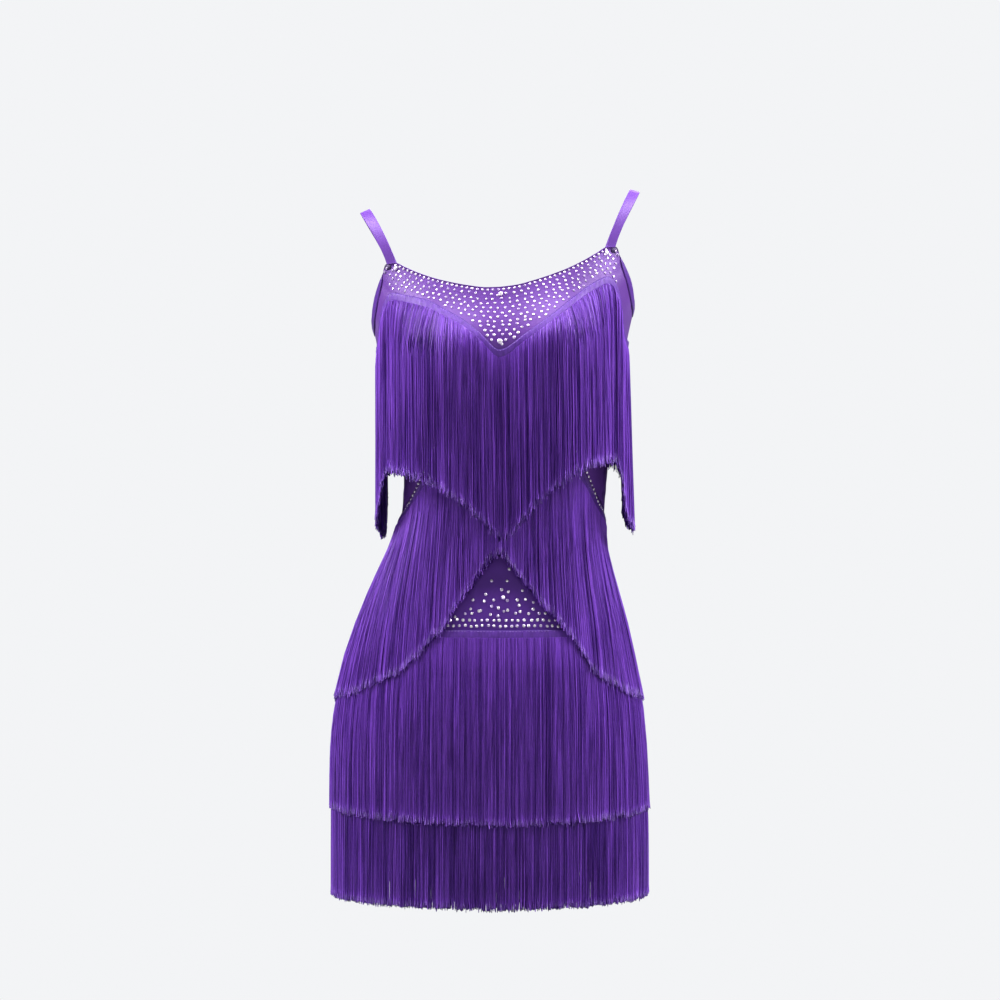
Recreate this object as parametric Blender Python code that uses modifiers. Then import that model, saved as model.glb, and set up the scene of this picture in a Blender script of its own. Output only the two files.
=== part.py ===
"""Latin dance costume: a sleeveless fringe dress in stretch cloth.

The cloth is a hollow tube cut as a front and a back bodice and a front and a back skirt.
Two thin straps and two armhole bindings are lapped inside the bodice, and four rows of
fringe hang from their own woven tapes.  Metres, +Z up, front towards -Y, and the origin
on the shoulder line halfway between the tops of the two straps.
"""
import math

import bmesh
import bpy

NAME = "latin_dance_costume"

WALL = 0.0015
SEAM_GAP = 0.0003
HEM_HEIGHT = -0.645
SEAM_ABOVE_HIP_TAPE = 0.006

SECTION_POWER = 2.2
CUP_SIDE = 0.072
CUP_HEIGHT = -0.165
CUP_DEPTH = 0.030
CUP_SPREAD = 0.040
CUP_RISE = 0.045
CUP_FALL = 0.040
CUP_BRIDGE = 0.55
LEAN = 0.075
LEAN_FULL_ABOVE = -0.150
LEAN_NONE_BELOW = -0.380

TAPE_HEIGHT = 0.011
TAPE_THICKNESS = 0.0018
TAPE_CLEARANCE = 0.0012
LOCK_THICKNESS = 0.0018
LOCK_SHARE = 0.80
TIP_SHARE = 0.82
TIP_UNEVENNESS = 0.003

STRAP_WIDTH = 0.0115
STRAP_THICKNESS = 0.0012
STRAP_BEARING = 51.5
STRAP_TOP_SIDE = 0.1485
STRAP_STEPS = 7
STRAP_ROOT_HEIGHT = -0.0635
STRAP_SPREAD_POWER = 1.2
LAP_CLEARANCE = 0.0004
BINDING_CLEARANCE = 0.0013
BINDING_LAP = 0.008

# Height of an armhole binding above the edge it is sewn to: bearing, height
BINDING_RISE = ((57.5, 0.006), (64.0, 0.011), (72.0, 0.015), (90.0, 0.015))

# Bearings of the cloth's columns, in degrees from the middle of a panel to its side seam
ARMHOLE_COLUMNS = (57.5, 62.0, 67.5, 74.0, 82.0, 90.0)
PANEL_COLUMNS = (0.0, 8.0, 16.0, 24.0, 31.0, 37.0, 43.0, 48.5, 51.5, 54.5) + ARMHOLE_COLUMNS

# Cloth sections: height, left, right, front, back (half sizes about the vertical axis)
SECTIONS = (
    (-0.780, 0.1830, 0.1607, 0.107, 0.118),
    (-0.700, 0.1830, 0.1605, 0.107, 0.119),
    (-0.637, 0.1830, 0.1585, 0.107, 0.120),
    (-0.593, 0.1815, 0.1562, 0.107, 0.122),
    (-0.549, 0.1760, 0.1517, 0.106, 0.122),
    (-0.505, 0.1660, 0.1430, 0.103, 0.118),
    (-0.461, 0.1510, 0.1330, 0.099, 0.110),
    (-0.417, 0.1330, 0.1210, 0.093, 0.099),
    (-0.373, 0.1160, 0.1137, 0.087, 0.088),
    (-0.335, 0.1070, 0.1150, 0.084, 0.080),
    (-0.305, 0.1056, 0.1177, 0.085, 0.079),
    (-0.250, 0.1130, 0.1230, 0.089, 0.083),
    (-0.200, 0.1250, 0.1330, 0.095, 0.090),
    (-0.160, 0.1335, 0.1405, 0.097, 0.093),
    (-0.140, 0.1370, 0.1450, 0.095, 0.093),
    (-0.120, 0.1430, 0.1495, 0.092, 0.092),
    (-0.098, 0.1455, 0.1510, 0.088, 0.090),
    (-0.066, 0.1480, 0.1510, 0.079, 0.084),
    (-0.020, 0.1490, 0.1510, 0.070, 0.076),
)

# Neck, strap corner and armhole edge: bearing from the middle, height in front, height behind
BODICE_TOP = (
    (0.0, -0.1012, -0.1178),
    (6.0, -0.1004, -0.1168),
    (13.0, -0.0970, -0.1130),
    (26.0, -0.0875, -0.0990),
    (35.0, -0.0785, -0.0840),
    (42.0, -0.0705, -0.0725),
    (48.5, -0.0640, -0.0645),
    (54.5, -0.0645, -0.0645),
    (58.0, -0.0785, -0.0785),
    (62.0, -0.0900, -0.0900),
    (66.0, -0.1010, -0.1010),
    (70.0, -0.1110, -0.1110),
    (76.0, -0.1220, -0.1220),
    (83.0, -0.1300, -0.1300),
    (90.0, -0.1320, -0.1320),
)

# Top edge of the bust tape all round: bearing, height
BUST_TAPE = (
    (-180.0, -0.1675),
    (-170.0, -0.1475),
    (-162.5, -0.1310),
    (-156.0, -0.1205),
    (-150.0, -0.1105),
    (-140.0, -0.1020),
    (-130.0, -0.0965),
    (-125.5, -0.0980),
    (-121.5, -0.1080),
    (-117.5, -0.1310),
    (-113.0, -0.1550),
    (-108.0, -0.1685),
    (-102.0, -0.1710),
    (-94.0, -0.1665),
    (-84.0, -0.1570),
    (-76.0, -0.1490),
    (-70.0, -0.1395),
    (-64.5, -0.1275),
    (-60.0, -0.1155),
    (-56.0, -0.1045),
    (-53.5, -0.0985),
    (-50.5, -0.0965),
    (-40.0, -0.1020),
    (-30.0, -0.1105),
    (-24.0, -0.1205),
    (-17.5, -0.1310),
    (-10.0, -0.1475),
    (0.0, -0.1690),
    (12.0, -0.1520),
    (22.0, -0.1345),
    (31.0, -0.1165),
    (39.5, -0.1030),
    (47.5, -0.0965),
    (50.5, -0.0985),
    (53.5, -0.1060),
    (57.0, -0.1180),
    (60.5, -0.1320),
    (64.5, -0.1455),
    (70.0, -0.1580),
    (76.0, -0.1635),
    (83.0, -0.1650),
    (90.0, -0.1655),
    (102.0, -0.1650),
    (110.0, -0.1620),
    (114.5, -0.1530),
    (118.5, -0.1340),
    (122.5, -0.1110),
    (126.0, -0.0990),
    (130.5, -0.0965),
    (140.5, -0.1030),
    (149.0, -0.1165),
    (158.0, -0.1345),
    (168.0, -0.1520),
    (180.0, -0.1675),
)

# Top edge of the hip tape in front: bearing, height
HIP_TAPE = (
    (0.0, -0.1850),
    (13.0, -0.2190),
    (18.0, -0.2295),
    (24.0, -0.2435),
    (30.0, -0.2650),
    (36.0, -0.2775),
    (42.0, -0.2945),
    (48.0, -0.3060),
    (54.0, -0.3185),
    (60.0, -0.3285),
    (66.0, -0.3365),
    (75.0, -0.3440),
    (90.0, -0.3520),
)

# Top edges of the two skirt tapes: bearing, height
UPPER_SKIRT_TAPE = ((0.0, -0.468), (60.0, -0.4665), (90.0, -0.464), (180.0, -0.464))
LOWER_SKIRT_TAPE = ((0.0, -0.562), (60.0, -0.558), (90.0, -0.556), (180.0, -0.556))

# Fringe rows: locks, strand length, resting offset, drop that reaches it
FRINGE_ROWS = {
    "fringe_bust": (56, 0.189, 0.0034, 0.005),
    "fringe_hip": (48, 0.192, 0.0077, 0.080),
    "fringe_skirt_upper": (54, 0.194, 0.0048, 0.030),
    "fringe_skirt_lower": (58, 0.194, 0.0018, 0.010),
}

# How far the bust row's strands drift towards +X for each metre they drop: bearing, drift
BUST_DRIFT = ((-180.0, 0.006), (-90.0, 0.0), (-40.0, 0.006), (0.0, 0.016), (30.0, 0.010),
              (50.0, 0.007), (62.0, 0.014), (75.0, 0.030), (90.0, 0.034), (115.0, 0.030),
              (140.0, 0.010), (180.0, 0.006))

# How much longer each row's strands are cut round the dress: bearing, added length
HEM_TRIM = {
    "fringe_bust": ((-180.0, 0.0), (-60.0, 0.0), (-44.0, 0.0010), (-32.0, 0.0035), (-20.0, 0.0085),
                    (-10.0, 0.0050), (0.0, 0.0040), (8.0, -0.0045), (20.0, -0.0125),
                    (32.0, -0.0110), (44.0, -0.0050), (56.0, -0.0030), (110.0, -0.0030),
                    (130.0, 0.0), (180.0, 0.0)),
    "fringe_hip": ((-180.0, 0.0), (-100.0, 0.0030), (-78.0, 0.0065), (-62.0, 0.0010), (-48.0, 0.0045),
                   (-38.0, 0.0015), (-28.0, 0.0065), (-18.0, 0.0010), (-8.0, -0.0055), (2.0, -0.0010),
                   (12.0, 0.0010), (22.0, 0.0080), (30.0, 0.0015), (38.0, 0.0075), (47.0, 0.0145),
                   (56.0, 0.0080), (70.0, 0.0030), (88.0, -0.0020), (110.0, 0.0), (180.0, 0.0)),
    "fringe_skirt_upper": ((-180.0, 0.0), (-90.0, 0.0), (0.0, 0.0045), (90.0, 0.0), (180.0, 0.0)),
    "fringe_skirt_lower": ((-180.0, 0.0), (180.0, 0.0)),
}

# Where each row's locks bend, as shares of the strand length, close set over curved cloth
FRINGE_BENDS = {
    "fringe_bust": (0.06, 0.15, 0.27, 0.45, 1.0),
    "fringe_hip": (0.10, 0.26, 0.46, 0.64, 0.82, 1.0),
    "fringe_skirt_upper": (0.22, 0.46, 0.72, 1.0),
    "fringe_skirt_lower": (0.18, 0.42, 1.0),
}

SHOULDER_NORMAL = (0.35, 0.0, 0.94)


def smooth(share):
    share = min(1.0, max(0.0, share))
    return share * share * (3.0 - 2.0 * share)


def curve_at(rows, key, column):
    """Value of a table's column at a key, along a curve that never overshoots its rows."""
    last = len(rows) - 1
    if key <= rows[0][0]:
        return rows[0][column]
    if key >= rows[last][0]:
        return rows[last][column]
    start = 0
    while rows[start + 1][0] <= key:
        start += 1

    def rise(row):
        return (rows[row + 1][column] - rows[row][column]) / (rows[row + 1][0] - rows[row][0])

    def slope(row):
        if row == 0:
            return rise(0)
        if row == last:
            return rise(last - 1)
        before = rise(row - 1)
        after = rise(row)
        if before * after <= 0.0:
            return 0.0
        return 2.0 * before * after / (before + after)

    span = rows[start + 1][0] - rows[start][0]
    u = (key - rows[start][0]) / span
    first = rows[start][column]
    second = rows[start + 1][column]
    curve = (2.0 * u ** 3 - 3.0 * u ** 2 + 1.0) * first
    curve += (u ** 3 - 2.0 * u ** 2 + u) * slope(start) * span
    curve += (3.0 * u ** 2 - 2.0 * u ** 3) * second
    curve += (u ** 3 - u ** 2) * slope(start + 1) * span
    return curve


def section_at(height, known={}):
    """Left, right, front and back half sizes of the cloth at a height."""
    key = round(height, 5)
    if key not in known:
        known[key] = tuple(curve_at(SECTIONS, key, column) for column in range(1, 5))
    return known[key]


def cup_depth(side, height, facing):
    """How far the bust stands out in front of the plain section."""
    if facing <= 0.0:
        return 0.0
    side = abs(side)
    if side < CUP_SIDE:
        across = CUP_BRIDGE + (1.0 - CUP_BRIDGE) * (1.0 - math.cos(math.pi * side / CUP_SIDE)) / 2.0
    else:
        across = math.exp(-((side - CUP_SIDE) / CUP_SPREAD) ** 2)
    above = height - CUP_HEIGHT
    reach = CUP_RISE if above > 0.0 else CUP_FALL
    return CUP_DEPTH * across * math.exp(-(above / reach) ** 2) * smooth(facing / 0.35)


def ring_point(bearing, height):
    """Outer face of the cloth, at a bearing turned from the front towards +X."""
    left, right, front, back = section_at(height)
    turn = math.sin(bearing)
    facing = math.cos(bearing)
    power = abs(turn) ** SECTION_POWER + abs(facing) ** SECTION_POWER
    reach = power ** (-1.0 / SECTION_POWER)
    x = (right if turn > 0.0 else left) * turn * reach
    y = -(front if facing > 0.0 else back) * facing * reach
    return x, y - cup_depth(x, height, facing)


def outward(bearing, height):
    """Level direction straight out of the cloth."""
    before = ring_point(bearing - 0.02, height)
    after = ring_point(bearing + 0.02, height)
    step_x = after[0] - before[0]
    step_y = after[1] - before[1]
    length = math.hypot(step_x, step_y)
    return step_y / length, -step_x / length


def cloth_point(bearing, height, offset=0.0):
    x, y = ring_point(bearing, height)
    out_x, out_y = outward(bearing, height)
    return x + out_x * offset, y + out_y * offset


def leaned(point):
    """Tilt the top of the dress as the figure stands, its +X shoulder higher."""
    x, y, z = point
    span = LEAN_FULL_ABOVE - LEAN_NONE_BELOW
    return x, y, z + LEAN * x * smooth((z - LEAN_NONE_BELOW) / span)


def bearing_of(x, y, height):
    left, right, front, back = section_at(height)
    across = x / (right if x > 0.0 else left)
    if y < 0.0:
        reach = math.hypot(across, y / front)
        y = min(-1e-6, y + cup_depth(x, height, -y / front / reach))
    along = -y / (front if y < 0.0 else back)
    return math.atan2(across, along)


def fold(bearing):
    """Degrees from the middle of the front or back, signed by the side, and if in front."""
    degrees = turned(bearing)
    if degrees > 90.0:
        return 180.0 - degrees, False
    if degrees < -90.0:
        return -180.0 - degrees, False
    return degrees, True


def bodice_top(bearing):
    degrees, in_front = fold(bearing)
    return curve_at(BODICE_TOP, abs(degrees), 1 if in_front else 2)


def bust_tape_top(bearing):
    return curve_at(BUST_TAPE, turned(bearing), 1)


def hip_tape_top(bearing):
    degrees, in_front = fold(bearing)
    return curve_at(HIP_TAPE, abs(degrees), 1) if in_front else HIP_TAPE[-1][1]


def skirt_tape_top(rows):
    def height(bearing):
        return curve_at(rows, abs(turned(bearing)), 1)
    return height


def waist_seam(bearing, share):
    """Height of a cloth edge at the seam, kept a share of the gap off its middle."""
    height = hip_tape_top(bearing) + SEAM_ABOVE_HIP_TAPE
    step = 0.01
    rise = (hip_tape_top(bearing + step) - hip_tape_top(bearing - step)) / (2.0 * step)
    return height + share * SEAM_GAP * math.hypot(1.0, rise / 0.11)


def new_material(name, color, roughness):
    material = bpy.data.materials.new(name)
    material.use_nodes = True
    shader = material.node_tree.nodes["Principled BSDF"]
    shader.inputs["Base Color"].default_value = (*color, 1.0)
    shader.inputs["Roughness"].default_value = roughness
    return material


def new_object(collection, name, points, faces, color, roughness):
    mesh = bpy.data.meshes.new(name)
    mesh.from_pydata([leaned(point) for point in points], [], faces)
    work = bmesh.new()
    work.from_mesh(mesh)
    bmesh.ops.recalc_face_normals(work, faces=work.faces)
    work.to_mesh(mesh)
    work.free()
    for face in mesh.polygons:
        face.use_smooth = True
    item = bpy.data.objects.new(name, mesh)
    collection.objects.link(item)
    mesh.materials.append(new_material(name, color, roughness))
    return item


def add_thickness(item, thickness):
    """Thicken an open sheet inwards from its outer face."""
    shell = item.modifiers.new("Cloth thickness", "SOLIDIFY")
    shell.thickness = thickness
    shell.offset = -1.0
    shell.use_even_offset = True
    shell.use_rim = True


def sheet_faces(columns, rows):
    """Quads of a grid of columns by rows that face outwards."""
    faces = []
    for column in range(columns - 1):
        for row in range(rows - 1):
            first = column * rows + row
            faces.append((first, first + 1, first + rows + 1, first + rows))
    return faces


def shell_faces(columns, rows):
    """Faces of an outer grid, the inner grid that follows it and the rims between them."""
    outer = sheet_faces(columns, rows)
    size = columns * rows
    inner = [tuple(corner + size for corner in reversed(face)) for face in outer]
    edge = [column * rows for column in range(columns)]
    edge += [(columns - 1) * rows + row for row in range(1, rows)]
    edge += [column * rows + rows - 1 for column in range(columns - 2, -1, -1)]
    edge += list(range(rows - 2, 0, -1))
    rims = []
    for here, there in zip(edge, edge[1:] + edge[:1]):
        rims.append((here, there, there + size, here + size))
    return outer + inner + rims


def even_bearings(start, end, count, height):
    """Bearings an even distance apart round the cloth."""
    samples = 720
    lengths = [0.0]
    before = ring_point(start, height)
    for sample in range(1, samples + 1):
        after = ring_point(start + (end - start) * sample / samples, height)
        lengths.append(lengths[-1] + math.hypot(after[0] - before[0], after[1] - before[1]))
        before = after
    bearings = []
    sample = 0
    for item in range(count + 1):
        wanted = lengths[-1] * item / count
        while sample < samples - 1 and lengths[sample + 1] < wanted:
            sample += 1
        part = (wanted - lengths[sample]) / (lengths[sample + 1] - lengths[sample])
        bearings.append(start + (end - start) * (sample + part) / samples)
    return bearings


def cloth_panel(collection, name, in_front, rows, top, foot, spread):
    """Half of the tube between its side seams, with an outer face, an inner face and rims."""
    columns = panel_columns()
    middle = 0.0 if in_front else math.pi
    front_sign = -1.0 if in_front else 1.0
    points = []
    for offset in (0.0, -WALL):
        for bearing in columns:
            upper = top(middle + bearing)
            drop = foot(middle + bearing) - upper
            for row in range(rows):
                height = upper + drop * (row / (rows - 1)) ** spread
                x, y = cloth_point(middle + bearing, height, offset)
                if abs(math.cos(bearing)) < 1e-6:
                    y = front_sign * SEAM_GAP / 2.0
                points.append((x, y, height))
    faces = shell_faces(len(columns), rows)
    return new_object(collection, name, points, faces, CLOTH_COLOR, 0.45)


def panel_columns():
    """Bearings that keep the corners of the neck, the strap and the armhole."""
    whole = [-degrees for degrees in reversed(PANEL_COLUMNS[1:])] + list(PANEL_COLUMNS)
    return [math.radians(degrees) for degrees in whole]


def fall_line(bearing, height, length, resting, lift, drift):
    """Path of a strand that hangs freely, pushed out wherever it would enter the layer."""
    step = 0.006
    x, y = cloth_point(bearing, height, TAPE_CLEARANCE)
    path = [(0.0, x, y, height)]
    run = 0.0
    drop = 0.0
    while run < length - 1e-9:
        down = min(step, length - run)
        start = (x, y)
        drop += down
        height -= down
        x += drift * down
        offset = TAPE_CLEARANCE + (resting - TAPE_CLEARANCE) * smooth(drop / lift)
        for _ in range(3):
            nearest = bearing_of(x, y, height)
            edge = cloth_point(nearest, height, offset)
            out = outward(nearest, height)
            gap = (edge[0] - x) * out[0] + (edge[1] - y) * out[1]
            if gap > 0.0:
                x += out[0] * gap
                y += out[1] * gap
        run += math.sqrt(down * down + (x - start[0]) ** 2 + (y - start[1]) ** 2)
        path.append((run, x, y, height))
    return path


def along(path, distance):
    distance = min(distance, path[-1][0])
    step = 0
    while step < len(path) - 2 and path[step + 1][0] < distance:
        step += 1
    first = path[step]
    second = path[step + 1]
    share = (distance - first[0]) / max(1e-9, second[0] - first[0])
    return [a + (b - a) * share for a, b in zip(first[1:], second[1:])]


def turned(bearing):
    return math.degrees(math.atan2(math.sin(bearing), math.cos(bearing)))


def hem_trim(name, bearing):
    """Added strand length of a row at a bearing."""
    return curve_at(HEM_TRIM[name], turned(bearing), 1)


def drift_at(name, bearing):
    """Drift of a row's strands at a bearing."""
    return curve_at(BUST_DRIFT, turned(bearing), 1) if name == "fringe_bust" else 0.0


def fringe_columns(count, tape_top):
    """Two bearings a lock, an even distance apart along the tape's run round the dress."""
    middle = tape_top(math.pi / 2.0)
    fine = even_bearings(-math.pi, math.pi, count * 10, middle)
    edge = int(round(10 * LOCK_SHARE))
    columns = []
    for lock in range(count):
        columns += [fine[lock * 10], fine[lock * 10 + edge]]
    return columns


def fringe(collection, name, tape_top, color):
    """A ring of tape whose lower face runs on into locks parted by open slots."""
    count, length, resting, lift = FRINGE_ROWS[name]
    columns = fringe_columns(count, tape_top)
    total = len(columns)
    points = []
    for bearing in columns:
        top = tape_top(bearing)
        foot = top - TAPE_HEIGHT
        for height, offset in ((top, 0.0), (top, 1.0), (foot, 1.0), (foot, 0.0)):
            depth = TAPE_CLEARANCE + offset * TAPE_THICKNESS
            points.append((*cloth_point(bearing, height, depth), height))
    faces = []
    for column in range(total):
        here = column * 4
        there = (column + 1) % total * 4
        faces.append((here, here + 1, there + 1, there))
        faces.append((here + 1, here + 2, there + 2, there + 1))
        faces.append((here + 3, here, there, there + 3))
        if column % 2:
            faces.append((here + 2, here + 3, there + 3, there + 2))
    for lock in range(count):
        first, second = columns[2 * lock], columns[2 * lock + 1]
        paths = []
        hangs = []
        for bearing in (first, second):
            root = tape_top(bearing) - TAPE_HEIGHT
            hang = length + TIP_UNEVENNESS * math.sin(2.4 * lock) + hem_trim(name, bearing)
            drift = drift_at(name, bearing)
            paths.append(fall_line(bearing, root, hang, resting, lift, drift))
            hangs.append(hang)
        corners = [8 * lock + 3, 8 * lock + 2, 8 * lock + 6, 8 * lock + 7]
        for share in FRINGE_BENDS[name]:
            start = len(points)
            near = [along(path, hang * share) for path, hang in zip(paths, hangs)]
            narrow = (1.0 - TIP_SHARE) / 2.0 * smooth((share - 0.6) / 0.4)
            inner = []
            for a, b in ((near[0], near[1]), (near[1], near[0])):
                inner.append([p + (q - p) * narrow for p, q in zip(a, b)])
            outer = []
            for x, y, z in inner:
                out = outward(bearing_of(x, y, z), z)
                outer.append((x + out[0] * LOCK_THICKNESS, y + out[1] * LOCK_THICKNESS, z))
            points += [tuple(inner[0]), outer[0], outer[1], tuple(inner[1])]
            ring = [start, start + 1, start + 2, start + 3]
            for corner in range(4):
                other = (corner + 1) % 4
                faces.append((corners[corner], corners[other], ring[other], ring[corner]))
            corners = ring
        faces.append(tuple(corners))
    return new_object(collection, name, points, faces, color, 0.55)


def unit(vector):
    length = math.sqrt(sum(value * value for value in vector))
    return tuple(value / length for value in vector)


def cross(a, b):
    return (a[1] * b[2] - a[2] * b[1], a[2] * b[0] - a[0] * b[2], a[0] * b[1] - a[1] * b[0])


def strap_stations(side):
    """Centre points and outward directions along a strap's outer face, front to back."""
    inset = -(WALL + LAP_CLEARANCE)
    crown = (side * SHOULDER_NORMAL[0], 0.0, SHOULDER_NORMAL[2])
    stations = []
    for facing in (1.0, -1.0):
        corner = math.radians(STRAP_BEARING)
        bearing = side * (corner if facing > 0.0 else math.pi - corner)
        half = []
        for lap in (0.012, 0.006, 0.0):
            height = STRAP_ROOT_HEIGHT - lap
            root = (*outward(bearing, height), 0.0)
            foot = cloth_point(bearing, height, inset)
            half.append(((*foot, height), root))
        for step in range(1, STRAP_STEPS + 1):
            turn = math.pi / 2.0 * step / STRAP_STEPS
            spread = math.sin(turn) ** STRAP_SPREAD_POWER
            x = foot[0] + (side * STRAP_TOP_SIDE - foot[0]) * spread
            out = unit([a + (b - a) * smooth(step / STRAP_STEPS) for a, b in zip(root, crown)])
            half.append(((x, foot[1] * math.cos(turn), STRAP_ROOT_HEIGHT * (1.0 - math.sin(turn))), out))
        stations += half if facing > 0.0 else half[-2::-1]
    return stations


def strap(collection, name, side):
    stations = strap_stations(side)
    points = []
    for index, (centre, out) in enumerate(stations):
        before = stations[max(0, index - 1)][0]
        after = stations[min(len(stations) - 1, index + 1)][0]
        run = unit([b - a for a, b in zip(before, after)])
        across = unit(cross(run, out))
        for share in (-0.5, 0.0, 0.5):
            points.append(tuple(c + a * share * STRAP_WIDTH for c, a in zip(centre, across)))
    item = new_object(collection, name, points, sheet_faces(len(stations), 3), STRAP_COLOR, 0.4)
    add_thickness(item, STRAP_THICKNESS)
    face_outwards(item, stations)
    return item


def face_outwards(item, stations):
    """Turn a strap's faces so that its thickness goes to the wearer's side."""
    mesh = item.data
    centre, out = stations[len(stations) // 2]
    nearest = min(mesh.polygons, key=lambda face: (face.center[1] - centre[1]) ** 2)
    if sum(a * b for a, b in zip(nearest.normal, out)) < 0.0:
        mesh.flip_normals()


def armhole_binding(collection, name, side):
    """A strip lapped inside the armhole edge, standing a little above it."""
    inset = -(WALL + BINDING_CLEARANCE)
    half = list(ARMHOLE_COLUMNS)
    columns = half + [180.0 - degrees for degrees in reversed(half[:-1])]
    points = []
    for degrees in columns:
        bearing = side * math.radians(degrees)
        edge = bodice_top(bearing)
        showing = curve_at(BINDING_RISE, min(degrees, 180.0 - degrees), 1)
        for rise in (showing, 0.0, -BINDING_LAP):
            height = edge + rise
            points.append((*cloth_point(bearing, height, inset), height))
    item = new_object(collection, name, points, sheet_faces(len(columns), 3), BINDING_COLOR, 0.45)
    add_thickness(item, STRAP_THICKNESS)
    mesh = item.data
    middle = mesh.polygons[len(mesh.polygons) // 2]
    if middle.normal[0] * side < 0.0:
        mesh.flip_normals()
    return item


CLOTH_COLOR = (0.22, 0.09, 0.42)
STRAP_COLOR = (0.24, 0.10, 0.46)
BINDING_COLOR = (0.10, 0.04, 0.22)
FRINGE_COLOR = (0.12, 0.045, 0.27)


def clear_scene():
    for item in list(bpy.data.objects):
        bpy.data.objects.remove(item)


def build():
    clear_scene()
    collection = bpy.data.collections.new(NAME)
    bpy.context.scene.collection.children.link(collection)

    def seam_above(bearing):
        return waist_seam(bearing, 0.5)

    def seam_below(bearing):
        return waist_seam(bearing, -0.5)

    def hem(bearing):
        return HEM_HEIGHT

    for word, in_front in (("front", True), ("back", False)):
        cloth_panel(collection, "bodice_" + word, in_front, 11, bodice_top, seam_above, 1.0)
        cloth_panel(collection, "skirt_" + word, in_front, 12, seam_below, hem, 1.6)

    for word, side in (("left", -1.0), ("right", 1.0)):
        strap(collection, "strap_" + word, side)
        armhole_binding(collection, "armhole_binding_" + word, side)

    fringe(collection, "fringe_bust", bust_tape_top, FRINGE_COLOR)
    fringe(collection, "fringe_hip", hip_tape_top, FRINGE_COLOR)
    fringe(collection, "fringe_skirt_upper", skirt_tape_top(UPPER_SKIRT_TAPE), FRINGE_COLOR)
    fringe(collection, "fringe_skirt_lower", skirt_tape_top(LOWER_SKIRT_TAPE), FRINGE_COLOR)


build()
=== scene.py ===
"""Latin dance costume: the cloth, tapes, loose fringe and stones of a purple fringe dress.

The cloth is a set of thin shells, each fringe row is a woven tape with thousands of loose
strands that hang along the body, and the stones are faceted crystals.  Metres, +Z up,
front towards -Y, and the origin on the shoulder line between the tops of the two straps.
"""
import math

import bpy
import numpy as np
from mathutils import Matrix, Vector


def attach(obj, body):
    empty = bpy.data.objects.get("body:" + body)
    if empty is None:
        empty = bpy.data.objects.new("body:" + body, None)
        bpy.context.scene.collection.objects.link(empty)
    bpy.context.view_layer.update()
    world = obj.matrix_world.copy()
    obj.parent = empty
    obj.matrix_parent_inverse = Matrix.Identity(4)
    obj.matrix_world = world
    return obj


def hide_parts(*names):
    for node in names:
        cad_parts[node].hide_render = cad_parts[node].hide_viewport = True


SEED = 7

# Form of the dress, as in its solids
WALL = 0.0015
SEAM_GAP = 0.0003
SEAM_CLOSED = 0.00002
HEM_HEIGHT = -0.645
SEAM_ABOVE_HIP_TAPE = 0.006
SECTION_POWER = 2.2
CUP_SIDE = 0.072
CUP_HEIGHT = -0.165
CUP_DEPTH = 0.030
CUP_SPREAD = 0.040
CUP_RISE = 0.045
CUP_FALL = 0.040
CUP_BRIDGE = 0.55
LEAN = 0.075
LEAN_FULL_ABOVE = -0.150
LEAN_NONE_BELOW = -0.380
TAPE_HEIGHT = 0.011
LAP_CLEARANCE = 0.0004

# Cloth sections: height, left, right, front, back (half sizes about the vertical axis)
SECTIONS = (
    (-0.780, 0.1830, 0.1607, 0.107, 0.118), (-0.700, 0.1830, 0.1605, 0.107, 0.119),
    (-0.637, 0.1830, 0.1585, 0.107, 0.120), (-0.593, 0.1815, 0.1562, 0.107, 0.122),
    (-0.549, 0.1760, 0.1517, 0.106, 0.122), (-0.505, 0.1660, 0.1430, 0.103, 0.118),
    (-0.461, 0.1510, 0.1330, 0.099, 0.110), (-0.417, 0.1330, 0.1210, 0.093, 0.099),
    (-0.373, 0.1160, 0.1137, 0.087, 0.088), (-0.335, 0.1070, 0.1150, 0.084, 0.080),
    (-0.305, 0.1056, 0.1177, 0.085, 0.079), (-0.250, 0.1130, 0.1230, 0.089, 0.083),
    (-0.200, 0.1250, 0.1330, 0.095, 0.090), (-0.160, 0.1335, 0.1405, 0.097, 0.093),
    (-0.140, 0.1370, 0.1450, 0.095, 0.093), (-0.120, 0.1430, 0.1495, 0.092, 0.092),
    (-0.098, 0.1455, 0.1510, 0.088, 0.090), (-0.066, 0.1480, 0.1510, 0.079, 0.084),
    (-0.020, 0.1490, 0.1510, 0.070, 0.076),
)

# Neck, strap corner and armhole edge: bearing from the middle, height in front, height behind
BODICE_TOP = (
    (0, -0.1012, -0.1178), (6, -0.1004, -0.1168), (13, -0.0970, -0.1130),
    (26, -0.0875, -0.0990), (35, -0.0785, -0.0840), (42, -0.0705, -0.0725),
    (48.5, -0.0640, -0.0645), (54.5, -0.0645, -0.0645), (58, -0.0785, -0.0785),
    (62, -0.0900, -0.0900), (66, -0.1010, -0.1010), (70, -0.1110, -0.1110),
    (76, -0.1220, -0.1220), (83, -0.1300, -0.1300), (90, -0.1320, -0.1320),
)

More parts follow.
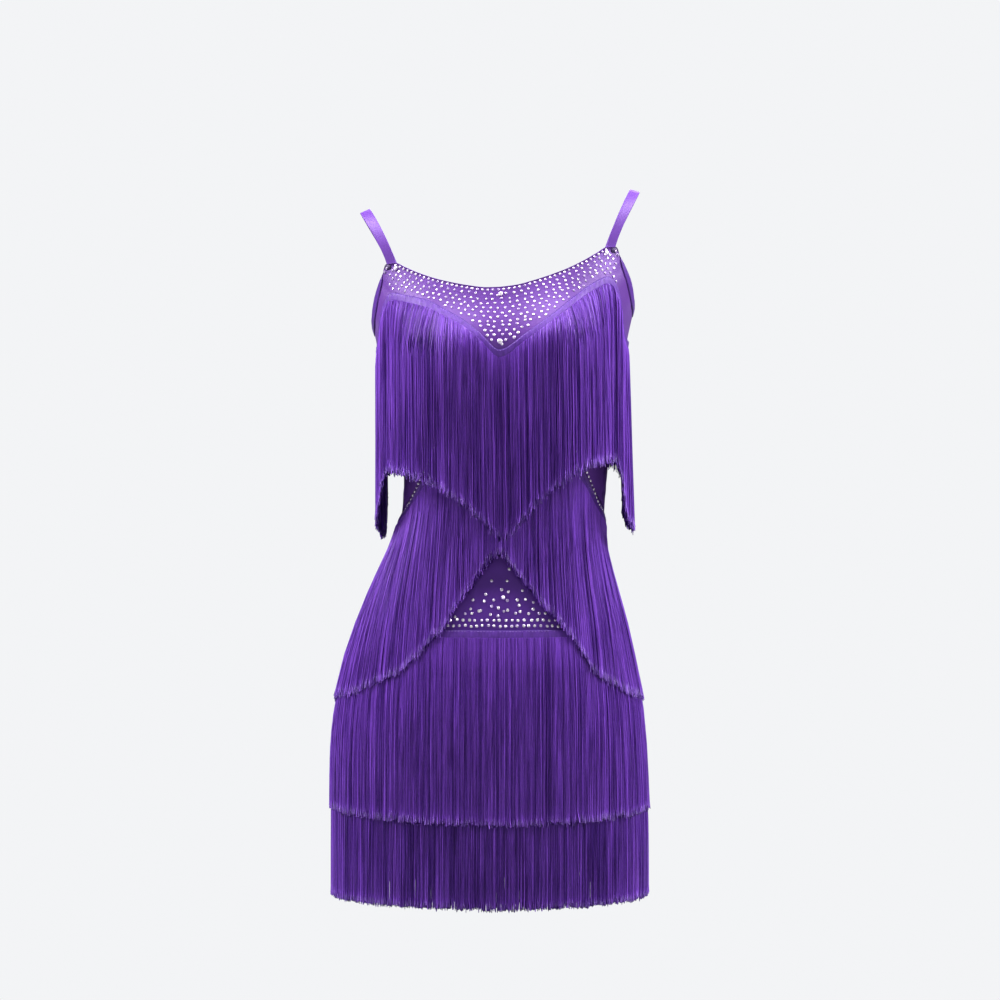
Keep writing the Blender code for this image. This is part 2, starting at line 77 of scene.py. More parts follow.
# Top edge of the bust tape all round: bearing, height
BUST_TAPE = (
    (-180, -0.1675), (-170, -0.1475), (-162.5, -0.1310), (-156, -0.1205), (-150, -0.1105),
    (-140, -0.1020), (-130, -0.0965), (-125.5, -0.0980), (-121.5, -0.1080), (-117.5, -0.1310),
    (-113, -0.1550), (-108, -0.1685), (-102, -0.1710), (-94, -0.1665), (-84, -0.1570),
    (-76, -0.1490), (-70, -0.1395), (-64.5, -0.1275), (-60, -0.1155), (-56, -0.1045),
    (-53.5, -0.0985), (-50.5, -0.0965), (-40, -0.1020), (-30, -0.1105), (-24, -0.1205),
    (-17.5, -0.1310), (-10, -0.1475), (0, -0.1690), (12, -0.1520), (22, -0.1345),
    (31, -0.1165), (39.5, -0.1030), (47.5, -0.0965), (50.5, -0.0985), (53.5, -0.1060),
    (57, -0.1180), (60.5, -0.1320), (64.5, -0.1455), (70, -0.1580), (76, -0.1635),
    (83, -0.1650), (90, -0.1655), (102, -0.1650), (110, -0.1620), (114.5, -0.1530),
    (118.5, -0.1340), (122.5, -0.1110), (126, -0.0990), (130.5, -0.0965), (140.5, -0.1030),
    (149, -0.1165), (158, -0.1345), (168, -0.1520), (180, -0.1675),
)

# Top edge of the hip tape in front: bearing, height
HIP_TAPE = (
    (0, -0.1850), (13, -0.2190), (18, -0.2295), (24, -0.2435), (30, -0.2650),
    (36, -0.2775), (42, -0.2945), (48, -0.3060), (54, -0.3185), (60, -0.3285),
    (66, -0.3365), (75, -0.3440), (90, -0.3520),
)

# Top edges of the two skirt tapes: bearing, height
UPPER_SKIRT_TAPE = ((0, -0.468), (60, -0.4665), (90, -0.464), (180, -0.464))
LOWER_SKIRT_TAPE = ((0, -0.562), (60, -0.558), (90, -0.556), (180, -0.556))

# Fringe rows: strands, length, innermost and outermost resting offset, drop that reaches
# it, looseness, and an offset of painted light on the bust and hip rows and painted shade on the lowest
FRINGE_ROWS = {
    "bust": (3500, 0.189, 0.0028, 0.0050, 0.006, 1.0, 0.02),
    "hip": (3500, 0.192, 0.0045, 0.0065, 0.070, 0.70, 0.05),
    "skirt_upper": (3500, 0.194, 0.0028, 0.0044, 0.030, 0.45, 0.0),
    "skirt_lower": (3500, 0.194, 0.0008, 0.0026, 0.010, 0.25, -0.09),
}

# How far the bust row's strands drift towards +X for each metre they drop: bearing, drift
BUST_DRIFT = ((-180, 0.006), (-90, 0.0), (-40, 0.006), (0, 0.016), (30, 0.010),
              (50, 0.007), (62, 0.014), (75, 0.030), (90, 0.034), (115, 0.030),
              (140, 0.010), (180, 0.006))

# How much longer each row's strands are cut round the dress: bearing, added length
HEM_TRIM = {
    "bust": ((-180, 0.0), (-60, 0.0), (-44, 0.0010), (-32, 0.0035), (-20, 0.0085),
             (-10, 0.0050), (0, 0.0040), (8, -0.0045), (20, -0.0125),
             (32, -0.0110), (44, -0.0050), (56, -0.0030), (110, -0.0030),
             (130, 0.0), (180, 0.0)),
    "hip": ((-180, 0.0), (-100, 0.0030), (-78, 0.0065), (-62, 0.0010), (-48, 0.0045),
            (-38, 0.0015), (-28, 0.0065), (-18, 0.0010), (-8, -0.0055), (2, -0.0010),
            (12, 0.0010), (22, 0.0080), (30, 0.0015), (38, 0.0075), (47, 0.0145),
            (56, 0.0080), (70, 0.0030), (88, -0.0020), (110, 0.0), (180, 0.0)),
    "skirt_upper": ((-180, 0.0), (-90, 0.0), (0, 0.0045), (90, 0.0), (180, 0.0)),
    "skirt_lower": ((-180, 0.0), (180, 0.0)),
}
TAPE_FOOT_OFFSET = 0.0010
TAPE_RIB = 0.0012
TAPE_COLUMNS = 640
# Ripples of a tape: depth, pitch, phase
RIPPLES = ((0.00016, 0.0075, 1.0), (0.00020, 0.0310, 2.0))
RIPPLE_FADE = 0.02

# Strands: clump widths, the spread of clump lean and depth, strand radius, and the shares of
# the length at which a strand has points
CLUMP_WIDTH = (0.0022, 0.0050)
CLUMP_LEAN = 0.0004
CLUMP_DEPTH = 0.0005
STRAND_LAYERS = 4
LAYER_STEPS = np.array((0.0, 0.5, 0.25, 0.75))
STRAND_RADIUS = (0.00039, 0.00051)
STRAND_LEVELS = (0.0, 0.05, 0.13, 0.26, 0.42, 0.60, 0.78, 0.945, 1.0)
LEVEL_SPREAD = (0.0, 0.010, 0.030, 0.060, 0.080, 0.085, 0.080, 0.008, 0.0)
FALL_STEPS = 52
# How a clump differs from the next: share pulled together, cut, tone
CLUMP_PULL = 0.24
CLUMP_CUT = 0.0010
CLUMP_TONE = 0.10
# How a strand differs in its clump: cut, lean, wave, curl of its tip, and share of bright ones
STRAND_CUT = 0.0019
STRAND_LEAN = 0.0007
WAVE_DEPTH = (0.00010, 0.00040)
WAVE_PITCH = (0.024, 0.065)
TIP_CURL_SIDE = 0.0009
TIP_CURL_OUT = (0.0001, 0.0005)
BRIGHT_SHARE = 0.15
# Turn of a strand about itself from its root to its cut end
STRAND_TWIST = 3.0
# A strand starts behind the tape: rise over the tape's foot, depth of all layers, added length
ROOT_RISE = 0.0030
ROOT_DEPTH = 0.0023
ROOT_LENGTH = 0.0015

# Columns of the cloth shells, in degrees from the middle of the front or back
CLOTH_COLUMNS = np.concatenate((np.arange(0.0, 48.0, 1.0), np.arange(48.5, 58.0, 0.75),
                                np.arange(58.0, 90.5, 1.0)))
BODICE_ROWS = 56
SKIRT_ROWS = 44
EDGE_ROUND = 0.0004
METRES_A_DEGREE = 0.0024

# Soft creases: degrees from the middle, height, slant, length, width, depth
BODICE_CREASES = (
    (58.0, -0.086, 38.0, 0.022, 0.0045, -0.0005), (64.0, -0.098, 30.0, 0.026, 0.0050, 0.0004),
    (78.0, -0.128, 14.0, 0.024, 0.0055, -0.0005), (74.0, -0.300, -24.0, 0.030, 0.0050, -0.0005),
    (83.0, -0.318, -18.0, 0.026, 0.0040, 0.0004), (62.0, -0.285, -30.0, 0.034, 0.0060, 0.0004),
)
SKIRT_CREASES = (
    (12.0, -0.420, 82.0, 0.030, 0.0050, 0.0004), (80.0, -0.372, -20.0, 0.028, 0.0060, -0.0005),
)

# Straps and armhole bindings
STRAP_WIDTH = 0.0115
STRAP_BEARING = 51.5
STRAP_TOP_SIDE = 0.1485
STRAP_ROOT_HEIGHT = -0.0635
STRAP_SPREAD_POWER = 1.2
STRAP_LAP = 0.012
STRAP_STEPS = 28
SHOULDER_NORMAL = (0.35, 0.0, 0.94)
BINDING_CLEARANCE = 0.0013
BINDING_LAP = 0.008
# Height of an armhole binding above the edge it is sewn to: bearing, height
BINDING_RISE = ((57.5, 0.006), (64.0, 0.011), (72.0, 0.015), (90.0, 0.015))
# Width of its fold on the outer face: bearing, width
BINDING_FOLD = ((57.5, 0.0040), (61.0, 0.0100), (68.0, 0.0125), (78.0, 0.0085), (90.0, 0.0070))

# Dark tab at a strap's root: bearing, height, and its outline across and up
TAB_BEARING = 52.6
TAB_HEIGHT = -0.0672
TAB_OUTLINE = ((-0.0050, -0.0016), (-0.0030, -0.0030), (0.0010, -0.0034), (0.0044, -0.0028),
               (0.0056, -0.0006), (0.0046, 0.0016), (0.0010, 0.0024), (-0.0034, 0.0018))
# Its layers from the cloth out: distance, size; and the distance of the cloth from the axis
TAB_LAYERS = ((0.0, 1.0), (0.0006, 1.0), (0.0010, 0.86))
TAB_RADIUS = 0.128

# The cuts: flat width and length, and the flat area of each shaped panel
PANEL_CUTS = {
    "bodice_front": ((0.430, 0.262), 0.0725),
    "bodice_back": ((0.400, 0.293), 0.0851),
    "skirt_front": ((0.460, 0.470), 0.1430),
    "skirt_back": ((0.470, 0.311), 0.1261),
}

# Stones
NECK_ROW_DROP = 0.0026
NECK_ROW_END = 49.0
NECK_STONE_GAP = 0.0057
YOKE_ROWS = 18
YOKE_ROW_GAP = 0.0050
YOKE_STONE_GAP = 0.0079
YOKE_END = 54.0
YOKE_ABOVE_TAPE = 0.0030
YOKE_WANDER = 0.0005
YOKE_RADIUS = 0.13
STONE_SIDES = 8
# Rings of a stone from its flat back up: rise and reach as shares of its radius, turn
STONE_RINGS = (
    (-0.05, 0.96, 0.0), (0.14, 1.00, 0.0), (0.46, 0.78, 0.5), (0.62, 0.50, 1.0),
)

# Rows of stones over the upper skirt tape: rise, spacing, half width
PANEL_STONE_ROWS = (
    (0.0045, 0.0062, 0.0660), (0.0105, 0.0066, 0.0600), (0.0175, 0.0088, 0.0530),
    (0.0250, 0.0104, 0.0460), (0.0330, 0.0120, 0.0380), (0.0420, 0.0130, 0.0290),
    (0.0520, 0.0140, 0.0200), (0.0630, 0.0150, 0.0100),
)

# Line of fine stones: degrees from the middle, height
SIDE_STONE_LINE = ((36.0, -0.2620), (45.0, -0.2880), (54.0, -0.3090), (60.0, -0.3225),
                   (66.0, -0.3330), (75.0, -0.3420), (90.0, -0.3475))
YOKE_STONE_RADIUS = (0.00120, 0.00146)
PANEL_STONE_RADIUS = (0.00150, 0.00182)
SIDE_STONE_RADIUS = 0.00142
SIDE_STONE_GAP = 0.0052
STONE_TILT = 0.07
# Stones at a strap's root: bearing, height, radius
ROOT_STONES = ((47.6, -0.0700, 0.0026), (53.6, -0.0690, 0.0015), (55.2, -0.0725, 0.0015))
# Brighter stones at the neck, on the bust tape's point and on the panel
LARGE_STONES = ((0.3, -0.1085, 0.0024), (0.0, -0.1605, 0.0030), (0.0, -0.4330, 0.0024))
# How far the last of them is to the side, and the height of the cloth it is measured on
LAST_STONE_SIDE = (0.0033, -0.430)

# Stitches: half thickness, spacing, share of the spacing that is thread, distance from the
# cloth, bearing at which a line ends, and drop of each line from the tape's top edge
STITCH_HALF = 0.00022
STITCH_GAP = 0.0034
STITCH_SHARE = 0.68
STITCH_OFFSET = 0.0025
STITCH_END = 179.9
STITCH_LINES = (("top", 0.0014), ("foot", 0.0096))

# Linear colours
SPECULAR_TINT = (0.80, 0.60, 1.0)
SATIN_COLOR = (0.122, 0.041, 0.280)
# Skirt satin: the bodice's satin darkened as painted shade, where it lies among the fringe rows
SKIRT_SHADED_COLOR = (0.086, 0.023, 0.255)
LINING_COLOR = (0.12, 0.040, 0.31)
STRAP_COLOR = (0.135, 0.043, 0.345)
# Binding: the bodice's satin darkened as painted shade along the armholes
BINDING_SHADED_COLOR = (0.082, 0.024, 0.235)
TAPE_COLOR = (0.100, 0.030, 0.295)
STRAND_DARK = (0.045, 0.008, 0.180)
STRAND_LIGHT = (0.22, 0.066, 0.58)
THREAD_COLOR = (0.34, 0.17, 0.70)
TAB_COLOR = (0.016, 0.008, 0.045)
CRYSTAL_DARK = (0.60, 0.46, 0.78)
CRYSTAL_LIGHT = (0.98, 0.89, 0.98)

# Stage
PALE = (0.896, 0.905, 0.921)
FLOOR_HEIGHT = -1.40
FLOOR_RADIUS = 14.0
FILL_STRENGTH = 0.07
# Soft boxes: name, place, width and height, power
SOFT_BOXES = (
    ("top light", (0.0, -0.32, 1.30), (1.5, 1.0), 35.0),
    ("left softbox", (-1.65, -0.22, 1.05), (1.0, 1.0), 64.0),
    ("right softbox", (1.70, -0.18, 1.05), (1.0, 1.0), 66.0),
    ("back light", (0.3, 2.40, 1.10), (1.8, 1.4), 26.0),
    ("left spark", (-1.0, -2.60, 0.55), (0.20, 0.20), 1.5),
    ("right spark", (0.9, -2.80, 0.80), (0.20, 0.20), 1.6),
    ("low spark", (0.3, -2.40, 0.10), (0.14, 0.14), 0.9),
)
FLOOR_COLOR = (0.52, 0.53, 0.54)
FLOOR_SIDES = 64
# Distances from the middle between which the floor fades into the background
FLOOR_FADE = (0.40, 1.8)
AIM_HEIGHT = -0.38
CAMERA_PLACE = (0.0, -3.3, -0.329)
LENS = 108.0
SENSOR = 36.0


class Curve:
    """A table's column as a curve of its first column that never overshoots its rows."""

    def __init__(self, rows, column):
        rows = sorted(rows)
        self.keys = np.array([row[0] for row in rows])
        self.values = np.array([row[column] for row in rows])
        rises = np.diff(self.values) / np.diff(self.keys)
        slopes = np.zeros(len(rows))
        same = rises[:-1] * rises[1:] > 0.0
        safe = np.where(same, rises[:-1] + rises[1:], 1.0)
        slopes[1:-1] = np.where(same, 2.0 * rises[:-1] * rises[1:] / safe, 0.0)
        slopes[0] = rises[0]
        slopes[-1] = rises[-1]
        self.slopes = slopes

    def __call__(self, key):
        key = np.clip(np.asarray(key, float), self.keys[0], self.keys[-1])
        at = np.clip(np.searchsorted(self.keys, key, side="right") - 1, 0, len(self.keys) - 2)
        span = self.keys[at + 1] - self.keys[at]
        u = (key - self.keys[at]) / span
        value = (2.0 * u ** 3 - 3.0 * u ** 2 + 1.0) * self.values[at]
        value = value + (u ** 3 - 2.0 * u ** 2 + u) * self.slopes[at] * span
        value = value + (3.0 * u ** 2 - 2.0 * u ** 3) * self.values[at + 1]
        return value + (u ** 3 - u ** 2) * self.slopes[at + 1] * span


LEFT, RIGHT, FRONT, BACK = (Curve(SECTIONS, column) for column in range(1, 5))
TOP_IN_FRONT = Curve(BODICE_TOP, 1)
TOP_BEHIND = Curve(BODICE_TOP, 2)
BUST_CURVE = Curve(BUST_TAPE, 1)
HIP_CURVE = Curve(HIP_TAPE, 1)
SIDE_LINE = Curve(SIDE_STONE_LINE, 1)
HEM_CURVES = {name: Curve(rows, 1) for name, rows in HEM_TRIM.items()}
DRIFT_CURVE = Curve(BUST_DRIFT, 1)
BINDING_CURVE = Curve(BINDING_RISE, 1)
FOLD_CURVE = Curve(BINDING_FOLD, 1)


def unit(vectors):
    """Rows of vectors, each scaled to length one."""
    return vectors / np.linalg.norm(vectors, axis=1)[:, None]


def smooth(share):
    share = np.clip(share, 0.0, 1.0)
    return share * share * (3.0 - 2.0 * share)


def cup_depth(side, height, facing):
    """How far the bust stands out in front of the plain section."""
    side = np.abs(side)
    near = CUP_BRIDGE + (1.0 - CUP_BRIDGE) * (1.0 - np.cos(math.pi * side / CUP_SIDE)) / 2.0
    far = np.exp(-((side - CUP_SIDE) / CUP_SPREAD) ** 2)
    above = height - CUP_HEIGHT
    reach = np.where(above > 0.0, CUP_RISE, CUP_FALL)
    across = np.where(side < CUP_SIDE, near, far)
    return CUP_DEPTH * across * np.exp(-(above / reach) ** 2) * smooth(facing / 0.35)


def ring_point(bearing, height):
    """Outer face of the cloth, at a bearing turned from the front towards +X."""
    turn = np.sin(bearing)
    facing = np.cos(bearing)
    power = np.abs(turn) ** SECTION_POWER + np.abs(facing) ** SECTION_POWER
    reach = power ** (-1.0 / SECTION_POWER)
    x = np.where(turn > 0.0, RIGHT(height), LEFT(height)) * turn * reach
    y = -np.where(facing > 0.0, FRONT(height), BACK(height)) * facing * reach
    return x, y - cup_depth(x, height, facing)


def outward(bearing, height):
    """Level direction straight out of the cloth."""
    before = ring_point(bearing - 0.02, height)
    after = ring_point(bearing + 0.02, height)
    step_x = after[0] - before[0]
    step_y = after[1] - before[1]
    length = np.hypot(step_x, step_y)
    return step_y / length, -step_x / length


def cloth_point(bearing, height, offset=0.0):
    x, y = ring_point(bearing, height)
    out_x, out_y = outward(bearing, height)
    return x + out_x * offset, y + out_y * offset


def spots_on_cloth(bearing, height, offset):
    return np.stack((*cloth_point(bearing, height, offset), height), -1)


def leaned(points):
    """Tilt the top of the dress as the figure stands, its +X shoulder higher."""
    points = np.array(points, float)
    span = LEAN_FULL_ABOVE - LEAN_NONE_BELOW
    share = smooth((points[..., 2] - LEAN_NONE_BELOW) / span)
    points[..., 2] = points[..., 2] + LEAN * points[..., 0] * share
    return points


def bearing_of(x, y, height):
    across = x / np.where(x > 0.0, RIGHT(height), LEFT(height))
    ahead = -y / FRONT(height)
    facing = ahead / np.maximum(1e-9, np.hypot(across, ahead))
    flat = np.where(y < 0.0, np.minimum(-1e-6, y + cup_depth(x, height, facing)), y)
    along = -flat / np.where(flat < 0.0, FRONT(height), BACK(height))
    return np.arctan2(across, along)


def in_degrees(bearing):
    """Degrees from the middle of the front, from -180 to 180."""
    return np.degrees(np.arctan2(np.sin(bearing), np.cos(bearing)))


def folded(bearing):
    """Degrees from the middle of the front or back, without the side, and if in front."""
    degrees = np.abs(in_degrees(bearing))
    in_front = degrees <= 90.0
    return np.where(in_front, degrees, 180.0 - degrees), in_front


def bodice_top(bearing):
    degrees, in_front = folded(bearing)
    return np.where(in_front, TOP_IN_FRONT(degrees), TOP_BEHIND(degrees))


def bust_tape_top(bearing):
    return BUST_CURVE(in_degrees(bearing))


def hip_tape_top(bearing):
    degrees, in_front = folded(bearing)
    return np.where(in_front, HIP_CURVE(degrees), HIP_TAPE[-1][1])


def same_on_both_sides(curve):
    return lambda bearing: curve(np.abs(in_degrees(bearing)))


TAPE_TOPS = {
    "bust": bust_tape_top,
    "hip": hip_tape_top,
    "skirt_upper": same_on_both_sides(Curve(UPPER_SKIRT_TAPE, 1)),
    "skirt_lower": same_on_both_sides(Curve(LOWER_SKIRT_TAPE, 1)),
}


def waist_seam(bearing, share):
    step = 0.01
    rise = (hip_tape_top(bearing + step) - hip_tape_top(bearing - step)) / (2.0 * step)
    height = hip_tape_top(bearing) + SEAM_ABOVE_HIP_TAPE
    return height + share * SEAM_GAP * np.hypot(1.0, rise / 0.11)


def bodice_foot(bearing):
    return waist_seam(bearing, 0.5)


def skirt_top(bearing):
    return waist_seam(bearing, -0.5)


def hem_line(bearing):
    return np.full_like(bearing, HEM_HEIGHT)


def arc_stations(height_at, start, end, samples=6000):
    """Bearings and the distance run along a line round the cloth."""
    bearing = np.linspace(start, end, samples)
    height = height_at(bearing)
    x, y = ring_point(bearing, height)
    steps = np.sqrt(np.diff(x) ** 2 + np.diff(y) ** 2 + np.diff(height) ** 2)
    return bearing, np.concatenate(([0.0], np.cumsum(steps)))


def fall_lines(bearing, height, length, root, resting, lift, drift):
    """Paths of strands that hang freely, pushed out wherever they would enter a layer."""
    x, y = cloth_point(bearing, height, root)
    z = height.copy()
    run = np.zeros_like(z)
    drop = np.zeros_like(z)
    path = [np.stack((x, y, z), -1)]
    runs = [run.copy()]
    down = length / FALL_STEPS
    for _ in range(FALL_STEPS):
        old_x, old_y = x, y
        drop = drop + down
        z = z - down
        x = x + drift * down
        offset = root + (resting - root) * smooth(drop / lift)
        for _ in range(3):
            nearest = bearing_of(x, y, z)
            edge_x, edge_y = cloth_point(nearest, z, offset)
            out_x, out_y = outward(nearest, z)
            gap = np.maximum(0.0, (edge_x - x) * out_x + (edge_y - y) * out_y)
            x = x + out_x * gap
            y = y + out_y * gap
        run = run + np.sqrt(down ** 2 + (x - old_x) ** 2 + (y - old_y) ** 2)
        path.append(np.stack((x, y, z), -1))
        runs.append(run.copy())
    return np.stack(path, 1), np.stack(runs, 1)


def points_along(path, runs, distance):
    """Points of each path at one distance along it."""
    wanted = np.minimum(distance, runs[:, -1] - 1e-9)
    at = np.clip((runs <= wanted[:, None]).sum(1) - 1, 0, runs.shape[1] - 2)
    each = np.arange(len(at))
    share = (wanted - runs[each, at]) / np.maximum(1e-9, runs[each, at + 1] - runs[each, at])
    return path[each, at] + (path[each, at + 1] - path[each, at]) * share[:, None]


def added(name, data):
    """A new object in the scene."""
    item = bpy.data.objects.new(name, data)
    bpy.context.scene.collection.objects.link(item)
    return item


def new_piece(name, points, faces, materials, smooth_faces=True, slots=None, worn=False):
    """A mesh brought into the worn pose, with its materials, that rides on the one body."""
    mesh = bpy.data.meshes.new(name)
    points = np.asarray(points, float) if worn else leaned(points)
    mesh.from_pydata(points.tolist(), [], faces)
    for material in materials:
        mesh.materials.append(material)
    if smooth_faces:
        mesh.polygons.foreach_set("use_smooth", np.ones(len(mesh.polygons), bool))
    if slots is not None:
        mesh.polygons.foreach_set("material_index", np.asarray(slots, np.int32))
    mesh.update()
    piece = added(name, mesh)
    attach(piece, "root")
    return piece


def put_values(piece, name, values):
    """A number at each point that the materials read."""
    attribute = piece.data.attributes.new(name, "FLOAT", "POINT")
    attribute.data.foreach_set("value", np.asarray(values, np.float32))


def grid_faces(columns, rows, first=0, flip=False):
    """Quads of a grid whose points run down each column in turn."""
    column, row = np.meshgrid(np.arange(columns - 1), np.arange(rows - 1), indexing="ij")
    corner = first + column * rows + row
    quads = np.stack((corner, corner + 1, corner + rows + 1, corner + rows), -1).reshape(-1, 4)
    return (quads[:, ::-1] if flip else quads).tolist()


def strand_ring(x, y, z, out_x, out_y, radius, turn, twist):
    """The three corners of every strand at one level."""
    corners = []
    for corner in range(3):
        angle = turn + corner * 2.0 * math.pi / 3.0 + twist
        across = np.cos(angle) * radius
        along = np.sin(angle) * radius
        corners.append(np.stack((x - out_y * across + out_x * along,
                                 y + out_x * across + out_y * along, z), -1))
    return corners


def strand_faces(count, levels):
    """The sides of every three-sided strand, and then the cap of each cut end."""
    first = np.arange(count)[:, None] * levels * 3
    sides = []
    for low in range(0, (levels - 1) * 3, 3):
        for corner in range(3):
            other = (corner + 1) % 3
            sides.append((low + corner, low + other, low + 3 + other, low + 3 + corner))
    faces = (first[:, :, None] + np.array(sides)[None]).reshape(-1, 4).tolist()
    last = (levels - 1) * 3
    return faces + (first + np.array((last, last + 2, last + 1))[None]).reshape(-1, 3).tolist()


def fringe_strands(name, height_at, material, seed):
    """Loose three-sided strands in close layers, drawn into slight clumps, cut unevenly."""
    # The last column is painted light on the bust and hip rows and painted shade on the lowest row
    count, length, inner, outer, lift, loose, light = FRINGE_ROWS[name]
    chance = np.random.default_rng(seed)
    bearings, distances = arc_stations(height_at, -math.pi, math.pi)
    total = distances[-1]
    each = count // STRAND_LAYERS
    layer = np.repeat(np.arange(STRAND_LAYERS), each)
    count = each * STRAND_LAYERS
    step = np.tile(np.arange(each), STRAND_LAYERS) + LAYER_STEPS[layer]
    place = (step + 0.5 + chance.normal(0.0, 0.16, count)) * total / each
    bearing = np.interp(place % total, distances, bearings)
    depth = (layer + chance.uniform(0.0, 0.8, count)) / (STRAND_LAYERS - 0.2)

    widths = chance.uniform(*CLUMP_WIDTH, int(total / CLUMP_WIDTH[0]) + 8)
    edges = np.cumsum(widths)
    shifted = place + 0.0021 * (layer // 2) + 0.0006 * layer
    clump = np.searchsorted(edges, shifted)
    middle = (edges - widths / 2.0)[clump]
    clump_lean = loose * chance.normal(0.0, CLUMP_LEAN, len(widths))[clump]
    clump_depth = loose * chance.normal(0.0, CLUMP_DEPTH, len(widths))[clump]
    clump_pull = loose * chance.uniform(0.0, CLUMP_PULL, len(widths))[clump]
    uneven = 0.4 + 0.6 * loose
    clump_cut = uneven * chance.normal(0.0, CLUMP_CUT, len(widths))[clump]
    clump_tone = chance.normal(0.0, CLUMP_TONE, len(widths))[clump]

    hang = length + clump_cut + uneven * chance.normal(0.0, STRAND_CUT, count)
    hang = hang + HEM_CURVES[name](np.degrees(bearing))
    resting = inner + (outer - inner) * depth
    resting = np.clip(resting + clump_depth, inner - 0.0004, outer + 0.0012)
    root = TAPE_FOOT_OFFSET + ROOT_DEPTH * depth
    start = height_at(bearing) - TAPE_HEIGHT + ROOT_RISE
    hang = hang + ROOT_LENGTH
    drift = DRIFT_CURVE(np.degrees(bearing)) if name == "bust" else 0.0
    path, runs = fall_lines(bearing, start, hang + 0.004, root, resting, lift, drift)

    lean = loose * chance.normal(0.0, STRAND_LEAN, count) + clump_lean
    wave = loose * chance.uniform(*WAVE_DEPTH, count)
    pitch = chance.uniform(*WAVE_PITCH, count)
    phase = chance.uniform(0.0, 2.0 * math.pi, count)
    curl_side = uneven * chance.normal(0.0, TIP_CURL_SIDE, count)
    curl_out = uneven * chance.normal(*TIP_CURL_OUT, count)
    radius = chance.uniform(*STRAND_RADIUS, count)
    radius = radius * (1.24 - 0.20 * loose - 0.10 * depth)
    turn = chance.uniform(0.0, 2.0 * math.pi, count)
    bright = chance.uniform(0.0, 1.0, count) < BRIGHT_SHARE
    radius = radius * np.where(bright, 1.15, 1.0)
    shifts = chance.uniform(-1.0, 1.0, count)

    points = []
    shares = []
    for level, spread in zip(STRAND_LEVELS, LEVEL_SPREAD):
        share = level + spread * shifts
        spot = points_along(path, runs, hang * share)
        x, y, z = spot[:, 0], spot[:, 1], spot[:, 2]
        out_x, out_y = outward(bearing_of(x, y, z), z)
        aside = (middle - shifted) * clump_pull * smooth(share * 1.3) + lean * share ** 1.3
        curve = np.sin(phase + 2.0 * math.pi * hang * share / pitch)
        aside = aside + wave * curve * smooth(share * 5.0)
        tip = smooth((share - 0.95) / 0.05)
        aside = aside + curl_side * tip
        forward = curl_out * tip
        x = x - out_y * aside + out_x * forward
        y = y + out_x * aside + out_y * forward
        points += strand_ring(x, y, z, out_x, out_y, radius, turn, share * STRAND_TWIST)
        shares += [share] * 3
    levels = len(STRAND_LEVELS)
    points = np.stack(points, 1).reshape(-1, 3)
    shares = np.stack(shares, 1).reshape(-1)
    piece = new_piece("strands_" + name, points, strand_faces(count, levels), [material])
    # Painted shade: strands of the inner layers are darker and the outer ones lighter, for the shade
    # between the layers; the row's painted light and shade offset is added too
    tone_and_painted_light = light + 0.50 * depth + clump_tone
    tone_and_painted_light = tone_and_painted_light + (0.08 + 0.09 * loose) * chance.normal(0.0, 1.0, count)
    tone_and_painted_light = tone_and_painted_light + (0.36 + 0.22 * loose) * bright
    put_values(piece, "tone_and_painted_light", np.repeat(np.clip(tone_and_painted_light, 0.0, 1.0), levels * 3))
    put_values(piece, "share", shares)
    rounded = np.ones(len(piece.data.polygons), bool)
    rounded[-count:] = False
    piece.data.polygons.foreach_set("use_smooth", rounded)
    return piece


# Cross-section of a woven tape: offset from the cloth, and share of the way down
TAPE_PROFILE = (
    (0.0005, 0.01), (0.0012, 0.00), (0.0020, 0.03), (0.0024, 0.12), (0.0025, 0.35),
    (0.0026, 0.60), (0.0026, 0.85), (0.0022, 0.97), (0.0014, 1.00), (0.0005, 0.99),
)


def swept(name, rings, material, closed):
    """A strip of closed cross-sections, joined into a ring or capped at both ends."""
    rings = np.stack(rings, 1)
    count, size = rings.shape[:2]
    last = count if closed else count - 1
    column, step = np.meshgrid(np.arange(last), np.arange(size), indexing="ij")
    other = (step + 1) % size
    after = (column + 1) % count
    faces = np.stack((column * size + step, after * size + step,
                      after * size + other, column * size + other), -1).reshape(-1, 4).tolist()
    if not closed:
        faces.append(tuple(range(size)))
        faces.append(tuple(range(count * size - 1, (count - 1) * size - 1, -1)))
    return new_piece(name, rings.reshape(-1, 3), faces, [material])


def woven_tape(name, height_at, material, seed):
    """The ribbed band that the strands hang from, drawn up into faint ripples."""
    bearings, distances = arc_stations(height_at, -math.pi, math.pi)
    place = np.arange(TAPE_COLUMNS) * distances[-1] / TAPE_COLUMNS
    bearing = np.interp(place, distances, bearings)
    top = height_at(bearing)
    ripple = sum(depth * np.sin(place * 2.0 * math.pi / pitch + phase * seed)
                 for depth, pitch, phase in RIPPLES)
    ripple = ripple * smooth(place / RIPPLE_FADE)
    ripple = ripple * smooth((distances[-1] - place) / RIPPLE_FADE)
    rings = []
    down = []
    for offset, share in TAPE_PROFILE:
        height = top - share * TAPE_HEIGHT
        proud = offset + ripple * (offset > 0.0015)
        rings.append(spots_on_cloth(bearing, height, proud))
        down.append(np.full(TAPE_COLUMNS, share * TAPE_HEIGHT))
    piece = swept("tape_" + name, rings, material, True)
    put_values(piece, "run", np.repeat(place, len(TAPE_PROFILE)))
    put_values(piece, "down", np.stack(down, 1).reshape(-1))
    return piece


# Cross-section of a strap: across as a share of its width, and out from its outer face
STRAP_PROFILE = (
    (-0.50, -0.0004), (-0.485, -0.0001), (-0.45, 0.0), (-0.20, 0.0001),
    (0.20, 0.0001), (0.45, 0.0), (0.485, -0.0001), (0.50, -0.0004),
    (0.50, -0.0009), (0.47, -0.0012), (-0.47, -0.0012), (-0.50, -0.0009),
)


